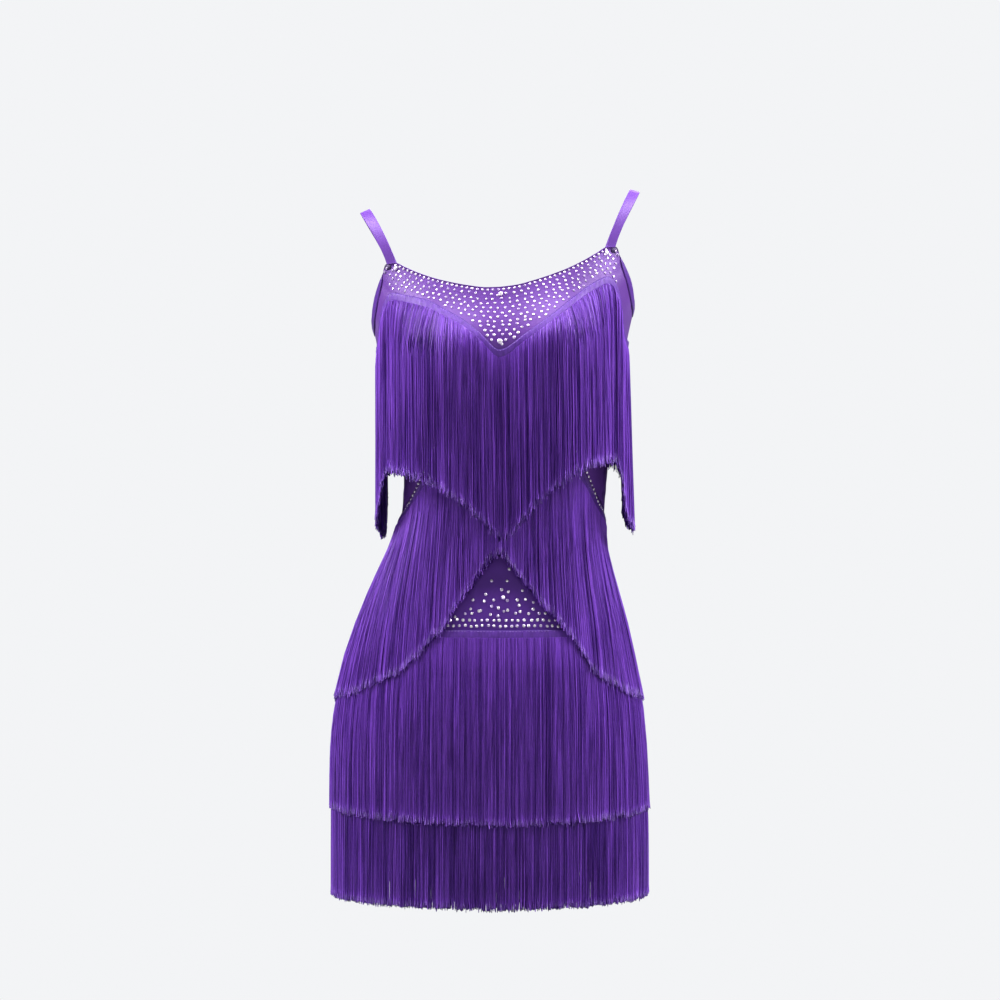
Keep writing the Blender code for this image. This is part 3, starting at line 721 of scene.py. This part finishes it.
def strap_cloth(name, side, material):
    """A flat folded strap, from inside the front neck corner over to the back corner."""
    inset = -(WALL + LAP_CLEARANCE)
    crown = np.array(SHOULDER_NORMAL) * (side, 1.0, 1.0)
    centres = []
    outs = []
    for facing in (1.0, -1.0):
        corner = math.radians(STRAP_BEARING)
        bearing = side * (corner if facing > 0.0 else math.pi - corner)
        half = []
        for lap in np.linspace(STRAP_LAP, 0.0, 5):
            height = STRAP_ROOT_HEIGHT - lap
            root = np.array((*outward(bearing, height), 0.0))
            foot = cloth_point(bearing, height, inset)
            half.append((np.array((*foot, height)), root))
        for step in np.arange(1, STRAP_STEPS + 1) / STRAP_STEPS:
            turn = math.pi / 2.0 * step
            spread = math.sin(turn) ** STRAP_SPREAD_POWER
            x = foot[0] + (side * STRAP_TOP_SIDE - foot[0]) * spread
            centre = np.array((x, foot[1] * math.cos(turn),
                               STRAP_ROOT_HEIGHT * (1.0 - math.sin(turn))))
            half.append((centre, root + (crown - root) * smooth(step)))
        if facing < 0.0:
            half = half[-2::-1]
        centres += [centre for centre, out in half]
        outs += [out for centre, out in half]
    centres = np.array(centres)
    outs = np.array(outs)
    run = np.gradient(centres, axis=0)
    across = unit(np.cross(run, outs))
    outs = unit(np.cross(across, run))
    rings = [centres + across * share * STRAP_WIDTH + outs * rise for share, rise in STRAP_PROFILE]
    return swept(name, rings, material, False)


# Cross-section of a binding folded over the edge: share of its height above the edge, share
# of its fold on the outer face, height added, and out
BINDING_PROFILE = (
    (1.0, 0.0, 0.0, -0.0005), (1.0, 0.0, -0.0008, 0.0004),
    (0.5, 0.0, 0.0, 0.0016), (0.0, 0.0, 0.0008, 0.0035),
    (0.0, 0.6, 0.0, 0.0038), (0.0, 1.0, 0.0, 0.0036),
    (0.0, 1.0, 0.0002, 0.0032), (0.0, 0.0, 0.0004, 0.0031),
    (0.0, 0.0, 0.0006, 0.0003), (0.0, 0.0, -BINDING_LAP + 0.0005, 0.0),
    (0.0, 0.0, -BINDING_LAP, -0.0003), (0.0, 0.0, -BINDING_LAP, -0.0010),
    (0.0, 0.0, -BINDING_LAP + 0.0004, -0.0012), (1.0, 0.0, -0.0008, -0.0012),
)


def armhole_binding(name, side, material):
    """A strip folded over the armhole edge and lapped inside it, standing above it."""
    half = np.arange(57.5, 90.5, 0.65)
    half[-1] = 90.0
    degrees = np.concatenate((half, 180.0 - half[-2::-1]))
    bearing = side * np.radians(degrees)
    edge = bodice_top(bearing)
    inset = -(WALL + BINDING_CLEARANCE)
    from_middle = np.minimum(degrees, 180.0 - degrees)
    showing = BINDING_CURVE(from_middle)
    fold = FOLD_CURVE(from_middle)
    rings = []
    for share, folded_over, rise, out in BINDING_PROFILE:
        height = edge + share * showing - folded_over * fold + rise
        rings.append(spots_on_cloth(bearing, height, inset + out))
    return swept(name, rings, material, False)


def panel_cloth(name, in_front, top, foot, rows, ends, materials, creases):
    """Half of the tube as a thin shell, creased softly; ends round its two edges."""
    half = CLOTH_COLUMNS
    whole = np.radians(np.concatenate((-half[:0:-1], half)))
    middle = 0.0 if in_front else math.pi
    bearing = whole + middle
    upper = top(bearing)
    lower = foot(bearing)
    share = np.arange(rows) / (rows - 1)
    height = upper[:, None] + (lower - upper)[:, None] * share[None, :]
    angle = np.repeat(bearing[:, None], rows, 1)
    degrees = np.degrees(whole)[:, None] + 0.0 * height
    crease = creases_at(degrees, height, creases)
    quarter = np.abs(np.cos(whole)) < 1e-6
    proud = np.zeros_like(height)
    proud[:, 0] = ends[0]
    proud[:, -1] = -ends[1]
    layers = []
    for offset, rounded in ((0.0, 0.0), (-WALL, 0.0), (-0.22 * WALL, 1.0), (-0.78 * WALL, 1.0)):
        level = height + proud * rounded
        x, y = cloth_point(angle, level, offset + crease)
        y[quarter] = (-SEAM_CLOSED if in_front else SEAM_CLOSED) / 2.0
        layers.append(np.stack((x, y, level), -1).reshape(-1, 3))
    columns = len(whole)
    size = columns * rows
    outer = grid_faces(columns, rows)
    inner = grid_faces(columns, rows, size, flip=True)
    edge = [column * rows for column in range(columns)]
    edge += [(columns - 1) * rows + row for row in range(1, rows)]
    edge += [column * rows + rows - 1 for column in range(columns - 2, -1, -1)]
    edge += list(range(rows - 2, 0, -1))
    count = len(edge)
    loops = [edge, list(range(2 * size, 2 * size + count)),
             list(range(2 * size + count, 2 * size + 2 * count)), [at + size for at in edge]]
    rims = []
    for near, far in zip(loops, loops[1:]):
        for at in range(count):
            after = (at + 1) % count
            rims.append((near[at], far[at], far[after], near[after]))
    points = layers[:2] + [layer[edge] for layer in layers[2:]]
    slots = [0] * len(outer) + [1] * len(inner) + [0] * len(rims)
    return new_piece(name, np.concatenate(points), outer + inner + rims, materials, True, slots)


def creases_at(degrees, height, rows):
    """Sum of the soft creases: each has a middle, a slant, a length, a width and a depth."""
    total = np.zeros_like(height)
    for middle, level, slant, length, width, depth in rows:
        for side in (-1.0, 1.0):
            across = (degrees - side * middle) * METRES_A_DEGREE * side
            up = height - level
            turned = math.radians(slant)
            lengthwise = across * math.cos(turned) + up * math.sin(turned)
            sidewise = -across * math.sin(turned) + up * math.cos(turned)
            total += depth * np.exp(-(lengthwise / length) ** 2 - (sidewise / width) ** 2)
    return total


def surface_frames(bearing, height, offset):
    """Points of the worn cloth with their outward, level and upward directions."""
    def at(turned, raised):
        return leaned(spots_on_cloth(bearing + turned, height + raised, offset))

    level = unit(at(0.004, 0.0) - at(-0.004, 0.0))
    out = unit(np.cross(level, at(0.0, 0.0006) - at(0.0, -0.0006)))
    return at(0.0, 0.0), out, level, np.cross(out, level)


def crystals(name, bearing, height, radius, material, seed, offset=0.0):
    """Flat-backed stones with a girdle, crown facets and a table, glued on the cloth."""
    chance = np.random.default_rng(seed)
    count = len(bearing)
    centre, out, level, upward = surface_frames(bearing, height, offset)
    out = unit(out + STONE_TILT * chance.normal(0.0, 1.0, (count, 3)))
    level = unit(np.cross(upward, out))
    upward = np.cross(out, level)
    spin = chance.uniform(0.0, 2.0 * math.pi, count)
    points = []
    for rise, reach, step in STONE_RINGS:
        for side in range(STONE_SIDES):
            angle = spin + 2.0 * math.pi * (side + step) / STONE_SIDES
            across = (np.cos(angle) * radius * reach)[:, None] * level
            along = (np.sin(angle) * radius * reach)[:, None] * upward
            points.append(centre + across + along + (rise * radius)[:, None] * out)
    size = len(STONE_RINGS) * STONE_SIDES
    points = np.stack(points, 1).reshape(-1, 3)
    shape = []
    for ring in range(len(STONE_RINGS) - 1):
        low = ring * STONE_SIDES
        high = low + STONE_SIDES
        half_step = STONE_RINGS[ring + 1][2] - STONE_RINGS[ring][2] > 0.0
        for side in range(STONE_SIDES):
            other = (side + 1) % STONE_SIDES
            if half_step:
                shape.append((low + side, low + other, high + side))
                shape.append((high + side, low + other, high + other))
            else:
                shape.append((low + side, low + other, high + other, high + side))
    shape.append(tuple(range(size - STONE_SIDES, size)))
    shape.append(tuple(range(STONE_SIDES - 1, -1, -1)))
    faces = [tuple(corner + stone * size for corner in face)
             for stone in range(count) for face in shape]
    return new_piece(name, points, faces, [material], False, worn=True)


def evenly(height_at, start, end, gap):
    """Bearings a fixed gap apart along a line on the cloth."""
    bearings, distances = arc_stations(height_at, math.radians(start), math.radians(end), 2000)
    count = int(distances[-1] / gap)
    return np.interp((np.arange(count) + 0.5) * distances[-1] / count, distances, bearings)


def neck_line(bearing):
    return bodice_top(bearing) - NECK_ROW_DROP


def yoke_line(level):
    """The line a number of rows under the neck edge."""
    return lambda bearing: neck_line(bearing) - level * YOKE_ROW_GAP


def yoke_stones(material):
    """The close row under the neck edge, and the stones strewn down to the bust tape."""
    row = evenly(neck_line, -NECK_ROW_END, NECK_ROW_END, NECK_STONE_GAP)
    chance = np.random.default_rng(SEED + 12)
    bearings = [row]
    heights = [neck_line(row)]
    for level in range(1, YOKE_ROWS):
        line = yoke_line(level)
        spots = evenly(line, -YOKE_END, YOKE_END, YOKE_STONE_GAP)
        spots = spots + 0.5 * (level % 2) * (spots[1] - spots[0])
        spots = spots + chance.normal(0.0, YOKE_WANDER, len(spots)) / YOKE_RADIUS
        drops = line(spots) + chance.normal(0.0, YOKE_WANDER, len(spots))
        fits = drops > bust_tape_top(spots) + YOKE_ABOVE_TAPE
        fits = fits & (np.abs(spots) < math.radians(YOKE_END))
        bearings.append(spots[fits])
        heights.append(drops[fits])
    bearing = np.concatenate(bearings)
    height = np.concatenate(heights)
    radius = chance.uniform(*YOKE_STONE_RADIUS, len(bearing))
    radius = radius + 0.00030 * smooth((-0.125 - height) / 0.035)
    return crystals("stones_yoke", bearing, height, radius, material, SEED + 13)


def bearing_at_side(side, height):
    """Bearings in front at which the cloth is that far to the side."""
    bearings = np.linspace(-1.2, 1.2, 400)
    return np.interp(side, ring_point(bearings, np.full(400, height))[0], bearings)


def panel_stones(material):
    """Rows over the upper skirt tape that thin out towards the point of the panel."""
    chance = np.random.default_rng(SEED + 21)
    bearings = []
    heights = []
    for row, (rise, gap, half) in enumerate(PANEL_STONE_ROWS):
        level = UPPER_SKIRT_TAPE[0][1] + rise
        count = int(2.0 * half / gap)
        wander = 0.0004 if row < 2 else 0.0021
        side = (np.arange(count) - (count - 1) / 2.0 + 0.5 * (row % 2)) * gap
        side = side + chance.normal(0.0, wander, count)
        bearings.append(bearing_at_side(side, level))
        heights.append(np.full(count, level) + chance.normal(0.0, wander, count))
    bearing = np.concatenate(bearings)
    height = np.concatenate(heights)
    radius = chance.uniform(*PANEL_STONE_RADIUS, len(bearing))
    return crystals("stones_panel", bearing, height, radius, material, SEED + 22)


def side_stones(material):
    """A fine line of stones along the diagonal seam on both sides."""
    def line(bearing):
        return SIDE_LINE(np.abs(np.degrees(bearing)))

    right = evenly(line, 38.0, 89.0, SIDE_STONE_GAP)
    bearing = np.concatenate((right, -right))
    radius = np.full(len(bearing), SIDE_STONE_RADIUS)
    return crystals("stones_side", bearing, line(bearing), radius, material, SEED + 31, 0.0001)


def stitches(name, height_at, drop, material):
    """A line of short raised stitches on a tape."""
    def line(bearing):
        return height_at(bearing) - drop

    end = math.radians(STITCH_END)
    bearings, distances = arc_stations(line, -end, end)
    count = int(distances[-1] / STITCH_GAP)
    centre = np.arange(count) * STITCH_GAP + STITCH_GAP / 2.0
    rows = []
    for share, wide in ((-0.5, 0.30), (-0.32, 1.0), (0.32, 1.0), (0.5, 0.30)):
        at = np.interp(centre + share * STITCH_GAP * STITCH_SHARE, distances, bearings)
        place, out, level, upward = surface_frames(at, line(at), STITCH_OFFSET)
        for side, rise in ((-1.0, 0.0), (0.0, 0.55), (1.0, 0.0)):
            rows.append(place + upward * side * STITCH_HALF * wide + out * rise * STITCH_HALF * wide)
    points = np.stack(rows, 1).reshape(-1, 3)
    faces = []
    for stitch in range(count):
        first = stitch * 12
        for step in range(3):
            a = first + step * 3
            for side in range(3):
                other = (side + 1) % 3
                faces.append((a + side, a + other, a + 3 + other, a + 3 + side))
        faces.append((first, first + 2, first + 1))
        faces.append((first + 9, first + 10, first + 11))
    return new_piece(name, points, faces, [material], worn=True)


def new_material(name, roughness, metallic=0.0):
    material = bpy.data.materials.new(name)
    material.use_nodes = True
    surface = material.node_tree.nodes["Principled BSDF"]
    surface.inputs["Roughness"].default_value = roughness
    surface.inputs["Metallic"].default_value = metallic
    return material


def node(owner, kind, inputs=(), **settings):
    """A node with its settings; an input given as a socket is linked, and otherwise set."""
    made = owner.node_tree.nodes.new(kind)
    for key, value in settings.items():
        setattr(made, key, value)
    for key, value in dict(inputs).items():
        if isinstance(value, bpy.types.NodeSocket):
            owner.node_tree.links.new(value, made.inputs[key])
        else:
            made.inputs[key].default_value = value
    return made


def worked_out(material, operation, *values):
    """A sum, product or other function of numbers and sockets."""
    made = node(material, "ShaderNodeMath", dict(enumerate(values)), operation=operation)
    return made.outputs[0]


def value_at(material, name):
    """The number that the piece has at each of its points."""
    return node(material, "ShaderNodeAttribute", attribute_name=name).outputs["Fac"]


def between(material, value, start, end, low, high):
    """From low to high while the value goes from start to end."""
    return node(material, "ShaderNodeMapRange",
                {"Value": value, "From Min": start, "From Max": end,
                 "To Min": low, "To Max": high}).outputs["Result"]


def own_place(material, scale):
    """Places on the object, in its own metres, stretched by a scale each way."""
    place = node(material, "ShaderNodeTexCoord").outputs["Object"]
    return node(material, "ShaderNodeMapping", {"Vector": place, "Scale": scale}).outputs["Vector"]


def noise(material, upright, scale, detail):
    """Soft noise, drawn out along the fall of the cloth."""
    return node(material, "ShaderNodeTexNoise",
                {"Vector": own_place(material, (1.0, 1.0, upright)), "Scale": scale,
                 "Detail": detail}).outputs["Fac"]


def twill(material, upright, **inputs):
    """Fine diagonal bands."""
    return node(material, "ShaderNodeTexWave",
                {"Vector": own_place(material, (1.0, 1.0, upright)), **inputs},
                bands_direction="DIAGONAL").outputs["Fac"]


def colors_between(material, share, stops):
    """A run of colours along a share: each stop is a place and a linear colour."""
    ramp = node(material, "ShaderNodeValToRGB", {"Fac": share})
    band = ramp.color_ramp
    while len(band.elements) < len(stops):
        band.elements.new(0.5)
    for element, (place, color) in zip(band.elements, stops):
        element.position = place
        element.color = (*color, 1.0)
    return ramp.outputs["Color"]


def shaded(color, share):
    return tuple(value * share for value in color)


def dyed(material, color, tint=(1.0, 1.0, 1.0)):
    """Give a surface its colour, and the tint of what it mirrors."""
    surface = material.node_tree.nodes["Principled BSDF"]
    material.node_tree.links.new(color, surface.inputs["Base Color"])
    surface.inputs["Specular Tint"].default_value = (*tint, 1.0)


def bumped(material, height, strength, distance):
    bump = node(material, "ShaderNodeBump",
                {"Height": height, "Strength": strength, "Distance": distance})
    surface = material.node_tree.nodes["Principled BSDF"]
    material.node_tree.links.new(bump.outputs["Normal"], surface.inputs["Normal"])


def cloth_material(name, color, roughness, weave=0.0004):
    """Woven cloth: a fine twill in the surface, and a slight drift of its colour."""
    material = new_material(name, roughness)
    stops = ((0.30, shaded(color, 0.90)), (0.70, shaded(color, 1.10)))
    dyed(material, colors_between(material, noise(material, 1.0, 28.0, 3.0), stops), SPECULAR_TINT)
    threads = twill(material, 0.8, Scale=0.32 / weave, Distortion=0.6, Detail=1.0)
    bumped(material, threads, 0.16, weave * 0.25)
    return material


def tape_material(color, roughness):
    """Woven tape: close upright ribs with painted shade between them, and a painted shadow along its top
    edge.
    """
    material = new_material("Fringe tape", roughness)
    turns = worked_out(material, "MULTIPLY", value_at(material, "run"), 2.0 * math.pi / TAPE_RIB)
    uneven = noise(material, 0.25, 420.0, 2.0)
    ribs = worked_out(material, "MULTIPLY_ADD", worked_out(material, "SINE", turns), 0.22, uneven)
    # Rib pattern of the weave, with painted shade in the grooves: two thirds of the tape's colour between
    # the ribs, a third more on them
    stops = ((0.22, shaded(color, 0.66)), (0.78, shaded(color, 1.30)))
    # Painted shadow: the top 0.4 to 1.6 mm of the tape goes over to the dark strand colour, a painted
    # shadow line under the cloth above
    edge = between(material, value_at(material, "down"), 0.0004, 0.0016, 0.85, 0.0)
    shade = node(material, "ShaderNodeMix",
                 {0: edge, 6: colors_between(material, ribs, stops), 7: (*STRAND_DARK, 1.0)},
                 data_type="RGBA").outputs[2]
    dyed(material, shade, SPECULAR_TINT)
    bumped(material, ribs, 0.35, 0.00025)
    return material


def strand_material(dark, light, roughness):
    """Rayon strands: each a little lighter or darker at random, with a painted highlight where they leave
    the tape, painted glints, and painted shade at their cut ends.
    """
    material = new_material("Fringe strands", roughness)
    share = value_at(material, "share")
    streak = worked_out(material, "MULTIPLY_ADD", noise(material, 0.05, 260.0, 1.0), 0.16, -0.08)
    tone_and_painted_light = worked_out(material, "ADD", value_at(material, "tone_and_painted_light"), streak)
    # Painted highlight: strands are lighter over the first fifth of their length, a painted sheen where
    # they leave the tape
    tone_and_painted_light = worked_out(material, "ADD", tone_and_painted_light, between(material, share, 0.0, 0.20, 0.34, 0.0))
    # Painted glints: fine noise that lightens and darkens the strands all along, more strongly at their
    # cut ends
    painted_glint = worked_out(material, "MULTIPLY_ADD", noise(material, 0.45, 750.0, 0.0), 0.9, -0.45)
    painted_glint = worked_out(material, "MULTIPLY", painted_glint, between(material, share, 0.96, 1.0, 0.30, 0.55))
    tone_and_painted_light = worked_out(material, "ADD", tone_and_painted_light, painted_glint)
    # Painted shade: the last few millimetres of every strand are darker, a painted shadow along each hem
    tone_and_painted_light = worked_out(material, "ADD", tone_and_painted_light, between(material, share, 0.965, 1.0, 0.0, -0.28))
    dyed(material, colors_between(material, tone_and_painted_light, ((0.10, dark), (0.90, light))), SPECULAR_TINT)
    bumped(material, noise(material, 0.4, 1500.0, 1.0), 0.20, 0.0001)
    return material


def stone_material():
    """Foil-backed crystal, a little different in tint from stone to stone."""
    material = new_material("Crystal", 0.14, 0.50)
    stops = ((0.30, CRYSTAL_DARK), (0.56, CRYSTAL_LIGHT))
    dyed(material, colors_between(material, noise(material, 1.0, 190.0, 0.0), stops))
    return material


def thread_material(name, color, roughness):
    """Sewing thread, with a twist."""
    material = new_material(name, roughness)
    stops = ((0.2, shaded(color, 0.7)), (0.8, color))
    dyed(material, colors_between(material, twill(material, 1.0, Scale=900.0), stops))
    return material


def strap_tab(name, side, material):
    """A small dark folded tab that covers the strap's sewn end."""
    middle = side * math.radians(TAB_BEARING)
    points = []
    for out, grow in TAB_LAYERS:
        for across, up in TAB_OUTLINE:
            bearing = middle + side * across * grow / TAB_RADIUS
            height = TAB_HEIGHT + up * grow
            points.append(spots_on_cloth(bearing, height, out))
    size = len(TAB_OUTLINE)
    faces = [tuple(range(size)), tuple(range(3 * size - 1, 2 * size - 1, -1))]
    for ring in range(2):
        for step in range(size):
            a = ring * size + step
            b = ring * size + (step + 1) % size
            faces.append((a, a + size, b + size, b))
    if side < 0.0:
        faces = [face[::-1] for face in faces]
    return new_piece(name, points, faces, [material])


def root_stones(name, side, material):
    """One large stone beside the strap's root, and two small ones by the tab."""
    degrees, height, radius = np.array(ROOT_STONES).T
    return crystals(name, side * np.radians(degrees), height, radius, material, SEED + 41, 0.0006)


def large_stones(material):
    """The brighter stones at the neck, at the point of the bust tape and on the panel."""
    degrees, height, radius = np.array(LARGE_STONES).T
    bearing = np.radians(degrees)
    bearing[-1] = bearing_at_side(*LAST_STONE_SIDE)
    return crystals("stones_large", bearing, height, radius, material, SEED + 51, 0.0004)


def placed(piece, stands_for=None):
    """Hide the solid that a piece stands for, if one is named, and give back the piece."""
    if stands_for:
        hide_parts(stands_for)
    return piece


def make_dress():
    satin = cloth_material("Satin", SATIN_COLOR, 0.36)
    # The skirt's satin is the same cloth as the bodice's, darkened with painted shade
    shaded_skirt_satin = cloth_material("Shaded skirt satin", SKIRT_SHADED_COLOR, 0.42)
    lining = cloth_material("Matte wrong side", LINING_COLOR, 0.75, 0.0006)
    strap_satin = cloth_material("Strap satin", STRAP_COLOR, 0.46)
    # The binding is the same satin, darkened with painted shade
    shaded_binding_satin = cloth_material("Shaded binding satin", BINDING_SHADED_COLOR, 0.42)
    tab_cloth = cloth_material("Dark tab", TAB_COLOR, 0.50)
    tape = tape_material(TAPE_COLOR, 0.48)
    rayon = strand_material(STRAND_DARK, STRAND_LIGHT, 0.40)
    crystal = stone_material()
    thread = thread_material("Thread", THREAD_COLOR, 0.45)

    for word, in_front in (("front", True), ("back", False)):
        for part, top, foot, rows, ends, cloth, creases in (
                ("bodice", bodice_top, bodice_foot, BODICE_ROWS, (EDGE_ROUND, 0.0), satin, BODICE_CREASES),
                ("skirt", skirt_top, hem_line, SKIRT_ROWS, (0.0, EDGE_ROUND), shaded_skirt_satin,
                 SKIRT_CREASES)):
            name = "%s_%s" % (part, word)
            piece = panel_cloth(name + "_cloth", in_front, top, foot, rows, ends,
                                [cloth, lining], creases)
            placed(piece, name)

    for word, side in (("left", -1.0), ("right", 1.0)):
        strap = placed(strap_cloth("strap_%s_cloth" % word, side, strap_satin),
                       "strap_" + word)
        tab = placed(strap_tab("strap_tab_" + word, side, tab_cloth))
        stones = placed(root_stones("stones_strap_" + word, side, crystal))
        binding = placed(armhole_binding("binding_" + word, side, shaded_binding_satin),
                         "armhole_binding_" + word)

    trims = {"bodice": [], "skirt": []}
    for turn, (name, height_at) in enumerate(TAPE_TOPS.items()):
        node_name = "fringe_" + name
        trim = trims["bodice" if name == "bust" else "skirt"]
        trim.append(placed(woven_tape(name, height_at, tape, turn + 1.0)))
        strands = fringe_strands(name, height_at, rayon, SEED + turn)
        trim.append(placed(strands, node_name))
        for edge, drop in STITCH_LINES:
            piece = stitches("stitches_%s_%s" % (name, edge), height_at, drop, thread)
            trim.append(placed(piece))

    for piece in (yoke_stones(crystal), side_stones(crystal), large_stones(crystal)):
        trims["bodice"].append(placed(piece))
    trims["skirt"].append(placed(panel_stones(crystal)))

    for name, (flat, area) in PANEL_CUTS.items():
        part = name.split("_")[0]


def floor_material():
    """Pale paper that fades into the background away from the dress."""
    paper = new_material("Pale paper", 0.8)
    surface = paper.node_tree.nodes["Principled BSDF"]
    surface.inputs["Base Color"].default_value = (*FLOOR_COLOR, 1.0)
    place = node(paper, "ShaderNodeTexCoord").outputs["Object"]
    far = node(paper, "ShaderNodeVectorMath", {0: place}, operation="LENGTH").outputs["Value"]
    share = node(paper, "ShaderNodeMapRange",
                 {"Value": far, "From Min": FLOOR_FADE[0], "From Max": FLOOR_FADE[1]},
                 interpolation_type="SMOOTHSTEP").outputs["Result"]
    glow = node(paper, "ShaderNodeEmission", {"Color": (*PALE, 1.0), "Strength": 1.0})
    mix = node(paper, "ShaderNodeMixShader", {0: share, 1: surface.outputs[0], 2: glow.outputs[0]})
    output = paper.node_tree.nodes["Material Output"]
    paper.node_tree.links.new(mix.outputs[0], output.inputs["Surface"])
    return paper


def make_floor():
    mesh = bpy.data.meshes.new("floor")
    rim = [(FLOOR_RADIUS * math.cos(turn), FLOOR_RADIUS * math.sin(turn), 0.0)
           for turn in np.linspace(0.0, 2.0 * math.pi, FLOOR_SIDES, endpoint=False)]
    mesh.from_pydata(rim, [], [tuple(range(FLOOR_SIDES))])
    mesh.materials.append(floor_material())
    floor = added("floor", mesh)
    floor.location = (0.0, 0.0, FLOOR_HEIGHT)


def make_room():
    """An even pale background for the camera, and a faint fill on the dress."""
    world = bpy.data.worlds.new("Pale room")
    bpy.context.scene.world = world
    world.use_nodes = True
    behind = world.node_tree.nodes["Background"]
    behind.inputs["Color"].default_value = (*PALE, 1.0)
    seen = node(world, "ShaderNodeLightPath").outputs["Is Camera Ray"]
    fill = node(world, "ShaderNodeBackground", {"Color": (*PALE, 1.0), "Strength": FILL_STRENGTH})
    mixed = node(world, "ShaderNodeMixShader", {0: seen, 1: fill.outputs[0], 2: behind.outputs[0]})
    output = world.node_tree.nodes["World Output"]
    world.node_tree.links.new(mixed.outputs[0], output.inputs["Surface"])


def make_lights():
    for name, place, size, power in SOFT_BOXES:
        light = bpy.data.lights.new(name, "AREA")
        light.shape = "RECTANGLE"
        light.size, light.size_y = size
        light.energy = power
        item = added(name, light)
        item.location = place
        aim = Vector((0.0, 0.0, AIM_HEIGHT)) - Vector(place)
        item.rotation_mode = "QUATERNION"
        item.rotation_quaternion = aim.to_track_quat("-Z", "Y")
        item.visible_camera = False


def make_camera():
    """A camera that looks level at the front of the dress."""
    lens = bpy.data.cameras.new("camera")
    lens.lens = LENS
    lens.sensor_width = SENSOR
    camera = added("camera", lens)
    camera.location = CAMERA_PLACE
    camera.rotation_euler = (math.radians(90.0), 0.0, 0.0)
    bpy.context.scene.camera = camera
    bpy.context.scene.view_settings.view_transform = "Standard"


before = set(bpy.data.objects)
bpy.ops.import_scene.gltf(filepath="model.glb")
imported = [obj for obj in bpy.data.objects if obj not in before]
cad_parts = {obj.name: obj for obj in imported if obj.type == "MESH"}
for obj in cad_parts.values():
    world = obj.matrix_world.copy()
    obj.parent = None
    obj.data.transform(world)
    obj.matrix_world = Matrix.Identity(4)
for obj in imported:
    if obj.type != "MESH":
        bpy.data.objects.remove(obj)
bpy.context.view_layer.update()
make_dress()
make_floor()
make_room()
make_lights()
make_camera()
